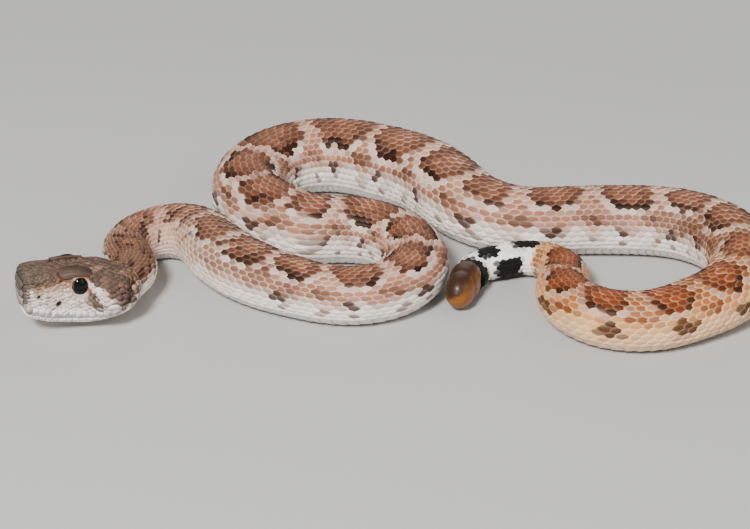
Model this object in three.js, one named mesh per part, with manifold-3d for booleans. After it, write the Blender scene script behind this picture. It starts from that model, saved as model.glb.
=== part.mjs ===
// A young western diamondback rattlesnake, life size, lying on a flat floor in two loops with its head to the left.
// Millimetres, +Z up. The floor is z = 0 and the origin is under the middle of the animal.
// The back line is a chain of smooth bends, and every length of the body is lofted along it.
// The head is one lofted shape, parted into the head proper and the lower jaw along the line of the mouth.

import * as THREE from 'three';
import { mergeVertices } from 'three/addons/utils/BufferGeometryUtils.js';
import Module from 'manifold-3d';

// The back line, from the nape to the tail's end
const NAPE = { x: -45.2, y: -17.9, heading: 62 };
const BENDS = [
  { length: 10.25, turn: 47 },
  { length: 27.5, turn: -174 },
  { length: 23.25, turn: 39.4 },
  { length: 53.5, turn: 210.2 },
  { length: 3.5, turn: -38.4 },
  { length: 54, turn: -177.4 },
  { length: 17.75, turn: -28.2 },
  { length: 23.5, turn: 65.2 },
  { length: 12.25, turn: -8.2 },
  { length: 51, turn: -145.4 },
  { length: 34, turn: -129.9 },
  { length: 17.25, turn: 117.2 },
  { length: 2.75, turn: -10 },
  { length: 4.5, turn: 64 },
  { length: 3, turn: 0 },
];
const PATH_STEP = 0.25;

// Half the body's width along the back line
const GIRTH = [
  { at: 0, half: 4.1 },
  { at: 8, half: 4.35 },
  { at: 16, half: 4.6 },
  { at: 33, half: 5.8 },
  { at: 48, half: 6.25 },
  { at: 69, half: 5.6 },
  { at: 92, half: 6 },
  { at: 118, half: 6.9 },
  { at: 148, half: 7.4 },
  { at: 180, half: 7.85 },
  { at: 192, half: 7.5 },
  { at: 203, half: 6.9 },
  { at: 214, half: 6.75 },
  { at: 228, half: 6.85 },
  { at: 246, half: 6.9 },
  { at: 268, half: 6.2 },
  { at: 285, half: 5.7 },
  { at: 299, half: 5.4 },
  { at: 312, half: 4.5 },
  { at: 320, half: 3.6 },
  { at: 329, half: 3.4 },
  { at: 337.5, half: 3.1 },
];
const TALL = 0.93; // height over width of a section
const BELLY_CUT = 0.95; // height of a section's middle over half its height, so that the belly is a narrow flat
const HEAD_LIFT = 2; // the head is carried this far clear of the floor
const LIFT_REACH = 24; // the neck has come down to the floor this far behind the nape
const TAIL_ARCH = { from: 311, to: 337, height: 0.6 }; // the tail's root is carried a little clear of the floor
const SECTORS = 24;
const RING_STEP = 2.1;
const SEAM = 0.3; // the thin cut between neighbouring pieces

// The lengths that the body is parted into, by where each ends along the back line
const LENGTHS = [
  { name: 'neck', end: 28 },
  { name: 'forebody', end: 54 },
  { name: 'front_run', end: 76 },
  { name: 'front_bend', end: 100 },
  { name: 'inner_run', end: 128 },
  { name: 'left_bend', end: 158 },
  { name: 'back_run', end: 188 },
  { name: 'cross_run', end: 216 },
  { name: 'middle_run', end: 242 },
  { name: 'right_bend', end: 268 },
  { name: 'return_run', end: 290 },
  { name: 'hind_bend', end: 312 },
  { name: 'tail', end: 337.5 },
];

// The head: stations from the nape forward, with half width, top, underside and how square the section is
const HEAD_LENGTH = 19.4;
const HEAD_TURN = { reach: 6, angle: 40 }; // the head looks round to its right over its hindmost part
const HEAD_RISE = { slope: 0.123, ease: 2 }; // and it is held nose up
const HEAD = [
  { at: 0, half: 4.1, top: 8.0, low: 0.2, square: 2.1 },
  { at: 1.4, half: 5.7, top: 8.3, low: 0.6, square: 2.2 },
  { at: 3.2, half: 6.8, top: 8.7, low: 0.1, square: 2.3 },
  { at: 5.6, half: 6.4, top: 9.0, low: -0.8, square: 2.4 },
  { at: 8, half: 5.3, top: 9.1, low: -1.3, square: 2.6 },
  { at: 10.5, half: 4.5, top: 9.0, low: -1.3, square: 2.9 },
  { at: 13.5, half: 4.1, top: 9.0, low: -1.1, square: 3.1 },
  { at: 16.5, half: 3.8, top: 8.9, low: -0.6, square: 3.2 },
  { at: 18.4, half: 3.5, top: 8.6, low: 0.1, square: 3.1 },
  { at: 19.1, half: 3.1, top: 8.2, low: 0.8, square: 2.8 },
  { at: HEAD_LENGTH, half: 2.4, top: 7.5, low: 1.7, square: 2.5 },
];
const HEAD_SECTORS = 28;
const HEAD_RINGS = 30;

// The mouth: its line from the corner of the jaws to the lip
const MOUTH = [
  { at: 3, z: 2.6 },
  { at: 6, z: 1.2 },
  { at: 9.5, z: 0.6 },
  { at: 13.5, z: 0.7 },
  { at: 17, z: 1.2 },
  { at: 22, z: 1.6 },
];
const JAW_INSET = 0.3; // the lower lip sits in this far under the upper one

// Features of the face, one side, in the head's own frame: forward, sideways, up
const EYE = { at: 9.4, side: 3.35, z: 6.75, radius: 1.6, tall: 1.15 };
const BROW = { at: 9.7, side: 2.6, z: 8.7, long: 3.4, wide: 1.6, thick: 1.1, lean: 16 };
const PIT = { at: 13.3, side: 4.05, z: 3.3, radius: 0.65 };
const NOSTRIL = { at: 16.8, side: 3.75, z: 4.8, radius: 0.42 };

// The rattle is only a button yet: two lobes, deeper than they are wide
const BUTTON_LENGTH = 9.4;
const BUTTON = [
  { at: 0, half: 2.3, deep: 2.7 },
  { at: 0.8, half: 2.8, deep: 3.4 },
  { at: 2.2, half: 3.0, deep: 3.7 },
  { at: 3.9, half: 2.9, deep: 3.6 },
  { at: 4.7, half: 2.65, deep: 3.35 },
  { at: 5.8, half: 2.75, deep: 3.4 },
  { at: 7.4, half: 2.5, deep: 3.0 },
  { at: 8.7, half: 1.75, deep: 2.05 },
  { at: BUTTON_LENGTH, half: 0.7, deep: 0.8 },
];

const DEGREE = Math.PI / 180;

// A smooth value between the stations of a table, with no overshoot at its ends
function along(table, key, at) {
  const last = table.length - 1;
  if (at <= table[0].at) return table[0][key];
  if (at >= table[last].at) return table[last][key];
  let i = 0;
  while (table[i + 1].at < at) i += 1;
  const slope = (k) => {
    const a = table[Math.max(0, k - 1)];
    const b = table[Math.min(last, k + 1)];
    return (b[key] - a[key]) / (b.at - a.at);
  };
  const width = table[i + 1].at - table[i].at;
  const t = (at - table[i].at) / width;
  const t2 = t * t;
  const t3 = t2 * t;
  return (2 * t3 - 3 * t2 + 1) * table[i][key] + (t3 - 2 * t2 + t) * width * slope(i)
    + (3 * t2 - 2 * t3) * table[i + 1][key] + (t3 - t2) * width * slope(i + 1);
}

// The line that the body lies along, seen from above
class BackLine extends THREE.Curve {
  constructor(start, bends, step) {
    super();
    this.step = step;
    this.stations = [];
    let { x, y } = start;
    let heading = start.heading * DEGREE;
    this.stations.push({ x, y, heading });
    for (const { length, turn } of bends) {
      const count = Math.round(length / step);
      for (let i = 0; i < count; i += 1) {
        const middle = (2 * i + 1) / count - 1;
        const part = (turn * DEGREE * (1 - middle ** 4)) / (0.8 * count);
        x += step * Math.cos(heading + part / 2);
        y += step * Math.sin(heading + part / 2);
        heading += part;
        this.stations.push({ x, y, heading });
      }
    }
    this.length = (this.stations.length - 1) * step;
  }

  // Place and heading at a distance along the line
  at(distance) {
    const place = Math.min(Math.max(distance / this.step, 0), this.stations.length - 1.001);
    const i = Math.floor(place);
    const [a, b] = [this.stations[i], this.stations[i + 1]];
    const mix = (key) => a[key] + (b[key] - a[key]) * (place - i);
    return { x: mix('x'), y: mix('y'), heading: mix('heading') };
  }

  getPoint(t, target = new THREE.Vector3()) {
    const { x, y } = this.at(t * this.length);
    return target.set(x, y, 0);
  }
}

// A closed solid through rings of equally many points, each listed the same way round
function loft(rings) {
  const count = rings[0].length;
  const positions = rings.flat().flatMap((p) => [p.x, p.y, p.z]);
  const index = [];
  for (let i = 0; i + 1 < rings.length; i += 1) {
    for (let j = 0; j < count; j += 1) {
      const k = (j + 1) % count;
      const [a, b] = [i * count + j, i * count + k];
      index.push(a, b, b + count, a, b + count, a + count);
    }
  }
  for (const [first, flip] of [[0, true], [(rings.length - 1) * count, false]]) {
    const ring = rings[first / count];
    const middle = ring.reduce((sum, p) => sum.add(p), new THREE.Vector3()).divideScalar(count);
    positions.push(middle.x, middle.y, middle.z);
    const hub = positions.length / 3 - 1;
    for (let j = 0; j < count; j += 1) {
      const pair = [first + j, first + ((j + 1) % count)];
      if (flip) pair.reverse();
      index.push(hub, pair[0], pair[1]);
    }
  }
  const geometry = new THREE.BufferGeometry();
  geometry.setAttribute('position', new THREE.Float32BufferAttribute(positions, 3));
  geometry.setIndex(index);
  return geometry;
}

const line = new BackLine(NAPE, BENDS, PATH_STEP);

function liftAt(distance) {
  const { from, to, height } = TAIL_ARCH;
  const arch = Math.sin(Math.PI * THREE.MathUtils.clamp((distance - from) / (to - from), 0, 1)) ** 2;
  return HEAD_LIFT * (1 - THREE.MathUtils.smoothstep(distance, 0, LIFT_REACH)) + height * arch;
}

// One section of the body, its belly flat on the floor
function bodySection(distance) {
  const { x, y, heading } = line.at(distance);
  const half = along(GIRTH, 'half', distance);
  const tall = half * TALL;
  const middle = tall * BELLY_CUT;
  return Array.from({ length: SECTORS }, (_, j) => {
    const angle = (j / SECTORS) * 2 * Math.PI;
    const side = half * Math.cos(angle);
    const up = Math.max(0, middle + tall * Math.sin(angle)) + liftAt(distance);
    return new THREE.Vector3(x - Math.sin(heading) * side, y + Math.cos(heading) * side, up);
  });
}

// A length of the body from one distance to another, short of its neighbours by half a seam at each end
function bodyLength(from, to) {
  const [a, b] = [from + SEAM / 2, to - SEAM / 2];
  const steps = Math.round((b - a) / RING_STEP);
  const rings = Array.from({ length: steps + 1 }, (_, i) => bodySection(a + ((b - a) * i) / steps));
  return loft(rings);
}

const wasm = await Module();
wasm.setup();

function solid(geometry) {
  const plain = geometry.clone();
  plain.deleteAttribute('normal');
  plain.deleteAttribute('uv');
  const merged = mergeVertices(plain, 1e-4);
  return new wasm.Manifold(new wasm.Mesh({
    numProp: 3,
    vertProperties: new Float32Array(merged.attributes.position.array),
    triVerts: new Uint32Array(merged.index.array),
  }));
}

// The largest closed body of a solid, as a geometry
function geometryOf(manifold) {
  const largest = manifold.decompose().sort((a, b) => b.volume() - a.volume())[0];
  const mesh = largest.getMesh();
  const geometry = new THREE.BufferGeometry();
  geometry.setAttribute('position', new THREE.BufferAttribute(new Float32Array(mesh.vertProperties), 3));
  geometry.setIndex(new THREE.BufferAttribute(new Uint32Array(mesh.triVerts), 1));
  return geometry;
}

// The middle line of the head in its own frame: it starts at the nape, turned, and soon runs straight forward
function headLine(at) {
  const { reach, angle } = HEAD_TURN;
  const steps = 24;
  const spot = { x: Math.max(0, at - reach), y: 0 };
  const near = Math.min(at, reach);
  for (let i = 0; i < steps; i += 1) {
    const turn = angle * DEGREE * (1 - (near * (i + 0.5)) / (steps * reach)) ** 2;
    spot.x += (near / steps) * Math.cos(turn);
    spot.y += (near / steps) * Math.sin(turn);
  }
  return { ...spot, turn: angle * DEGREE * (1 - near / reach) ** 2 };
}

// How far the head has risen at a distance in front of the nape
function riseAt(x) {
  return HEAD_RISE.slope * (Math.hypot(Math.max(x, 0), HEAD_RISE.ease) - HEAD_RISE.ease);
}

// A place beside the head's middle line, in the head's own frame
function beside(at, side, up) {
  const { x, y, turn } = headLine(at);
  return new THREE.Vector3(x - Math.sin(turn) * side, y + Math.cos(turn) * side, up + riseAt(x));
}

// A point of the head's skin: how far forward, and the angle round from the left side over the top
function headPoint(at, angle, inset = 0) {
  const half = along(HEAD, 'half', at) - inset;
  const top = along(HEAD, 'top', at);
  const low = along(HEAD, 'low', at);
  const power = 2 / along(HEAD, 'square', at);
  const [c, s] = [Math.cos(angle), Math.sin(angle)];
  const side = half * Math.sign(c) * Math.abs(c) ** power;
  const middle = low + (top - low) * 0.47;
  const reach = s > 0 ? top - middle : middle - low;
  return beside(at, side, middle + reach * Math.sign(s) * Math.abs(s) ** power);
}

function headShape(inset = 0) {
  const rings = Array.from({ length: HEAD_RINGS + 1 }, (_, i) => {
    const at = HEAD_LENGTH * Math.sin((i / HEAD_RINGS) * 90 * DEGREE) ** 0.85;
    return Array.from({ length: HEAD_SECTORS }, (_, j) => (
      headPoint(at, (j / HEAD_SECTORS) * 2 * Math.PI, inset)));
  });
  return solid(loft(rings));
}

// All that lies under the line of the mouth, as a block across the head
function underMouth(gap) {
  const outline = new THREE.Shape();
  outline.moveTo(MOUTH[0].at - gap, -5);
  const ends = MOUTH[MOUTH.length - 1].at;
  for (let at = MOUTH[0].at - gap; at < ends; at += 1) {
    outline.lineTo(at, along(MOUTH, 'z', at) + riseAt(at) + gap);
  }
  outline.lineTo(ends, -5);
  const block = new THREE.ExtrudeGeometry(outline, { depth: 34, bevelEnabled: false });
  block.rotateX(Math.PI / 2);
  block.translate(0, 17, 0);
  return solid(block);
}

function ball(radius, place, scale = [1, 1, 1], tilt = 0) {
  const shape = new THREE.SphereGeometry(radius, 18, 12);
  shape.scale(...scale);
  shape.rotateX(tilt);
  shape.translate(...beside(...place).toArray());
  return solid(shape);
}

function makeHead() {
  let head = headShape();
  for (const side of [1, -1]) {
    const brow = ball(1, [BROW.at, side * BROW.side, BROW.z], [BROW.long, BROW.wide, BROW.thick],
      -side * BROW.lean * DEGREE);
    head = head.add(brow);
  }
  head = head.subtract(underMouth(SEAM));
  for (const side of [1, -1]) {
    head = head.subtract(ball(EYE.radius + SEAM, [EYE.at, side * EYE.side, EYE.z], [1, 1, EYE.tall]));
    head = head.subtract(ball(PIT.radius, [PIT.at, side * PIT.side, PIT.z], [1, 1.2, 1]));
    head = head.subtract(ball(NOSTRIL.radius, [NOSTRIL.at, side * NOSTRIL.side, NOSTRIL.z], [1.3, 1.4, 0.9]));
  }
  return geometryOf(head);
}

function makeJaw() {
  return geometryOf(headShape(JAW_INSET).intersect(underMouth(0)));
}

function makeEye(side) {
  const eye = new THREE.SphereGeometry(EYE.radius, 20, 14);
  eye.scale(1, 1, EYE.tall);
  eye.translate(...beside(EYE.at, side * EYE.side, EYE.z).toArray());
  return eye;
}

function makeButton() {
  const rings = BUTTON.map((_, i) => i).flatMap((i) => {
    if (i === BUTTON.length - 1) return [BUTTON[i].at];
    return [BUTTON[i].at, (BUTTON[i].at + BUTTON[i + 1].at) / 2];
  }).map((at) => Array.from({ length: 18 }, (_, j) => {
    const angle = (j / 18) * 2 * Math.PI;
    const waist = 1 - 0.1 * Math.exp(-((Math.sin(angle) / 0.35) ** 2));
    return new THREE.Vector3(at, along(BUTTON, 'half', at) * Math.cos(angle) * waist,
      along(BUTTON, 'deep', at) * Math.sin(angle));
  }));
  return loft(rings);
}

const skin = (colour) => new THREE.MeshStandardMaterial({ color: colour, roughness: 0.62, metalness: 0 });
const headSkin = skin(0x9c7a66);
const foreSkin = skin(0xb5876c);
const hindSkin = skin(0xb56b3a);
const tailSkin = skin(0xd8d2cc);
const jawSkin = skin(0xd9cfc6);
const eyeGloss = new THREE.MeshStandardMaterial({ color: 0x0b0908, roughness: 0.08, metalness: 0 });
const horn = new THREE.MeshStandardMaterial({ color: 0xb0702a, roughness: 0.35, metalness: 0 });

function piece(name, geometry, material) {
  const mesh = new THREE.Mesh(geometry, material);
  mesh.name = name;
  return mesh;
}

const snake = new THREE.Group();

// The head starts at the nape, and its own frame looks along its straight front part
const face = new THREE.Group();
face.position.set(NAPE.x, NAPE.y, HEAD_LIFT);
face.rotation.z = (NAPE.heading - HEAD_TURN.angle + 180) * DEGREE;
face.add(piece('head', makeHead(), headSkin));
face.add(piece('lower_jaw', makeJaw(), jawSkin));
face.add(piece('eye_left', makeEye(1), eyeGloss));
face.add(piece('eye_right', makeEye(-1), eyeGloss));
snake.add(face);

let from = 0;
for (const { name, end } of LENGTHS) {
  const isTail = name === 'tail';
  const material = isTail ? tailSkin : end > 260 ? hindSkin : foreSkin;
  snake.add(piece(name, bodyLength(from + (from === 0 ? SEAM / 2 : 0), end), material));
  from = end;
}

const tip = line.at(from);
const rattle = new THREE.Group();
rattle.position.set(tip.x, tip.y, Math.max(...BUTTON.map(({ deep }) => deep)));
rattle.rotation.z = tip.heading;
const button = piece('rattle_button', makeButton(), horn);
button.position.x = SEAM / 2;
rattle.add(button);
snake.add(rattle);

// The origin goes under the middle of the whole animal
const box = new THREE.Box3().setFromObject(snake, true);
const middle = box.getCenter(new THREE.Vector3());
snake.position.set(-middle.x, -middle.y, 0);
const part = new THREE.Group();
part.add(snake);

export default part;
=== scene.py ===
"""A young western diamondback rattlesnake at life size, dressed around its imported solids.

One skin runs from the tail's end to the snout. Keeled scales, belly scutes and head plates lie over
it as solid mesh, and skin and scales take their markings from the same functions of the place on the
body.
"""

import logging
import math
from dataclasses import dataclass, field
from enum import Enum

import bpy
import numpy as np
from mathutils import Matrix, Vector
from mathutils.bvhtree import BVHTree

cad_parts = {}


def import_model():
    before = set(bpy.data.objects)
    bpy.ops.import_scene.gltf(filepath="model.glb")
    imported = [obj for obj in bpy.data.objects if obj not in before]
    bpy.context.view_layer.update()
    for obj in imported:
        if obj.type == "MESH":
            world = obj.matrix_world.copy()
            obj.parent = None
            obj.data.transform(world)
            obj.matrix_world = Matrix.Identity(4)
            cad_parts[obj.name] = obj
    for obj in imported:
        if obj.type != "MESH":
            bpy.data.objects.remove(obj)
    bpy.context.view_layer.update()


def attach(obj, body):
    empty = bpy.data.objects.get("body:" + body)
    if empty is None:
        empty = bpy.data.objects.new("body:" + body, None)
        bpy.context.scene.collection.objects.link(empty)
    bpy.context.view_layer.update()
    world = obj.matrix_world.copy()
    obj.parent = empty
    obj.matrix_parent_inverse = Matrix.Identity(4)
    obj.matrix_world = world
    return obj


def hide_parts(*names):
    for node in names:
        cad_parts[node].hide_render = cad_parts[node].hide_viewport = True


log = logging.getLogger("rattlesnake")

MM = 0.001
ROOT = "root"
SKIN_DEPTH = 0.24
DOME_SHARES = (0.93, 0.82, 0.66, 0.46, 0.24, 0.05)
MIX_SHARE, MIX_UNDER, MIX_OVER, MIX_COLOUR = 0, 6, 7, 2
Array = np.ndarray
Colour = tuple[float, float, float]
Faces = list[tuple[int, ...]]
Socket = bpy.types.NodeSocket


class Side(Enum):
    """A side of the animal, as the sign of its sideways coordinate."""

    LEFT = 1
    RIGHT = -1

    def arc(self, left: float) -> float:
        """The arc on this side that mirrors an arc on the left."""
        return left if self is Side.LEFT else 1 - left


class Table:
    """Stations along a line, with a smooth curve through each column."""

    def __init__(self, rows: tuple[tuple[float, ...], ...]) -> None:
        """Keeps the rows.

        Args:
            rows: One tuple per station, its place first and then its values.
        """
        grid = np.array(rows, float)
        self.at = grid[:, 0]
        self.columns = grid[:, 1:]
        last = len(self.at) - 1
        before = np.maximum(np.arange(last + 1) - 1, 0)
        after = np.minimum(np.arange(last + 1) + 1, last)
        run = (self.at[after] - self.at[before])[:, None]
        self.slopes = (self.columns[after] - self.columns[before]) / run

    def value(self, column: int, at: Array) -> Array:
        """Reads one column at many places.

        Args:
            column: Which value of the stations.
            at: Places along the line.

        Returns:
            The values there.
        """
        at = np.clip(at, self.at[0], self.at[-1])
        i = np.clip(np.searchsorted(self.at, at, side="right") - 1, 0, len(self.at) - 2)
        width = self.at[i + 1] - self.at[i]
        t = (at - self.at[i]) / width
        values, slopes = self.columns[:, column], self.slopes[:, column]
        t2, t3 = t * t, t * t * t
        return (
            (2 * t3 - 3 * t2 + 1) * values[i]
            + (t3 - 2 * t2 + t) * width * slopes[i]
            + (3 * t2 - 2 * t3) * values[i + 1]
            + (t3 - t2) * width * slopes[i + 1]
        )


def smooth(low: float, high: float, value: Array) -> Array:
    """Rises smoothly from 0 at low to 1 at high."""
    t = np.clip((value - low) / (high - low), 0, 1)
    return t * t * (3 - 2 * t)


def unit(vectors: Array) -> Array:
    """Scales each vector to length 1."""
    return vectors / np.maximum(np.linalg.norm(vectors, axis=-1, keepdims=True), 1e-12)


def bell(value: Array, breadth: float) -> Array:
    """Falls softly from 1 at 0 to both sides."""
    return np.exp(-((value / breadth) ** 2))


def jaw_crease(at: Array, up: Array, breadth: float, ahead: float = 0.0) -> Array:
    """Share of the slanting crease behind the jaw at places on the head.

    Args:
        at: Distance in front of the nape.
        up: Height in the head's frame.
        breadth: Breadth of the crease.
        ahead: How far in front of the crease the middle lies.

    Returns:
        Shares from 0 to 1.
    """
    line = 1.6 + 0.42 * (6.5 - up)
    return bell(at - line - ahead, breadth) * smooth(0.8, 2.4, up) * smooth(7.6, 6.2, up)


@dataclass
class BackLine:
    """The line that the body lies along, seen from above, in millimetres."""

    nape: tuple[float, float] = (-50.1996, -19.8144)
    heading: float = 62.0
    bends: tuple[tuple[float, float], ...] = (
        (10.25, 47),
        (27.5, -174),
        (23.25, 39.4),
        (53.5, 210.2),
        (3.5, -38.4),
        (54, -177.4),
        (17.75, -28.2),
        (23.5, 65.2),
        (12.25, -8.2),
        (51, -145.4),
        (34, -129.9),
        (17.25, 117.2),
        (2.75, -10),
        (4.5, 64),
        (3, 0),
    )
    step: float = 0.25

    def __post_init__(self) -> None:
        """Walks the bends, each with its turn spread over a flat-topped curve."""
        (x, y), heading = self.nape, math.radians(self.heading)
        spots = [(x, y, heading)]
        for length, turn in self.bends:
            count = round(length / self.step)
            for i in range(count):
                middle = (2 * i + 1) / count - 1
                part = math.radians(turn) * (1 - middle**4) / (0.8 * count)
                x += self.step * math.cos(heading + part / 2)
                y += self.step * math.sin(heading + part / 2)
                heading += part
                spots.append((x, y, heading))
        self.spots = np.array(spots)
        self.distance = np.arange(len(spots)) * self.step
        self.curvature = np.gradient(self.spots[:, 2], self.step)

    def at(self, distance: Array) -> tuple[Array, Array, Array, Array]:
        """Place, heading and curvature at distances along the line."""
        columns = [np.interp(distance, self.distance, c) for c in self.spots.T]
        return columns[0], columns[1], columns[2], np.interp(distance, self.distance, self.curvature)


@dataclass
class BodyForm:
    """The outside of the body behind the nape.

    Angles are from the spine, positive on the animal's left.
    """

    line: BackLine
    end: float = 337.5
    tall: float = 0.93
    belly_cut: float = 0.95
    head_lift: float = 2.0
    lift_reach: float = 24.0
    tail_arch: tuple[float, float, float] = (311.0, 337.0, 0.6)
    girth: Table = field(
        default_factory=lambda: Table(
            (
                (0, 4.1),
                (8, 4.35),
                (16, 4.6),
                (33, 5.8),
                (48, 6.25),
                (69, 5.6),
                (92, 6),
                (118, 6.9),
                (148, 7.4),
                (180, 7.85),
                (192, 7.5),
                (203, 6.9),
                (214, 6.75),
                (228, 6.85),
                (246, 6.9),
                (268, 6.2),
                (285, 5.7),
                (299, 5.4),
                (312, 4.5),
                (320, 3.6),
                (329, 3.4),
                (337.5, 3.1),
            )
        )
    )

    def half(self, s: Array) -> Array:
        """Half the body's width at distances behind the nape."""
        return self.girth.value(0, s)

    def lift(self, s: Array) -> Array:
        """How far the body is carried clear of the floor.

        Args:
            s: Distance behind the nape.

        Returns:
            Heights in millimetres.
        """
        start, stop, height = self.tail_arch
        arch = np.sin(np.pi * np.clip((s - start) / (stop - start), 0, 1)) ** 2
        return self.head_lift * (1 - smooth(0, self.lift_reach, s)) + height * arch

    def stretch(self, s: Array, angle: Array) -> Array:
        """Length on the surface over length along the back line, larger on the outside of a bend."""
        curvature = self.line.at(s)[3]
        return np.clip(1 + curvature * self.half(s) * np.sin(angle), 0.25, 2.5)

    def point(self, s: Array, angle: Array, over: Array | float = 0.0) -> Array:
        """Points over or under the outside.

        Args:
            s: Distance behind the nape.
            angle: Angle from the spine.
            over: Height over the outside, below 0 for inside.

        Returns:
            Points in millimetres.
        """
        x, y, heading, _ = self.line.at(s)
        half = self.half(s)
        tall = half * self.tall
        across, up = np.sin(angle) / half, np.cos(angle) / tall
        size = np.hypot(across, up)
        side = half * np.sin(angle) + over * across / size
        height = tall * self.belly_cut + tall * np.cos(angle) + over * up / size
        height = np.maximum(height, np.maximum(0.02, -over)) + self.lift(s)
        return np.stack([x + np.sin(heading) * side, y - np.cos(heading) * side, height], -1)


@dataclass(frozen=True)
class Lump:
    """An ellipsoid that swells or hollows both flanks of the head, in the head's own frame."""

    centre: tuple[float, float, float]
    reach: tuple[float, float, float]
    blend: float
    lean: float = 0.0
    hollow: bool = False

    def distance(self, places: Array) -> Array:
        """Rough distance to the ellipsoid.

        Args:
            places: Places on the left flank.

        Returns:
            Distances, below 0 inside.
        """
        away = places - np.array(self.centre)
        lean = math.radians(self.lean)
        side = away[..., 1] * math.cos(lean) - away[..., 2] * math.sin(lean)
        up = away[..., 1] * math.sin(lean) + away[..., 2] * math.cos(lean)
        local = np.stack([away[..., 0], side, up], -1) / np.array(self.reach)
        near = np.linalg.norm(local, axis=-1)
        steep = np.linalg.norm(local / np.array(self.reach), axis=-1)
        return near * (near - 1) / np.maximum(steep, 1e-6)


@dataclass(frozen=True)
class Rim:
    """A raised ring round an opening in the head's flanks."""

    centre: tuple[float, float, float]
    radius: float
    tall: float
    thick: float
    blend: float

    def distance(self, places: Array) -> Array:
        """Rough distance to the ring's surface.

        Args:
            places: Places on the left flank.

        Returns:
            Distances, below 0 inside.
        """
        away = places - np.array(self.centre)
        round_way = np.hypot(away[..., 0], away[..., 2] / self.tall) - self.radius
        return np.hypot(round_way, away[..., 1]) - self.thick


def merge(a: Array, b: Array, blend: float) -> Array:
    """Joins two distances with a soft fillet."""
    near = np.maximum(blend - np.abs(a - b), 0) / blend
    return np.minimum(a, b) - near * near * blend / 4


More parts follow.
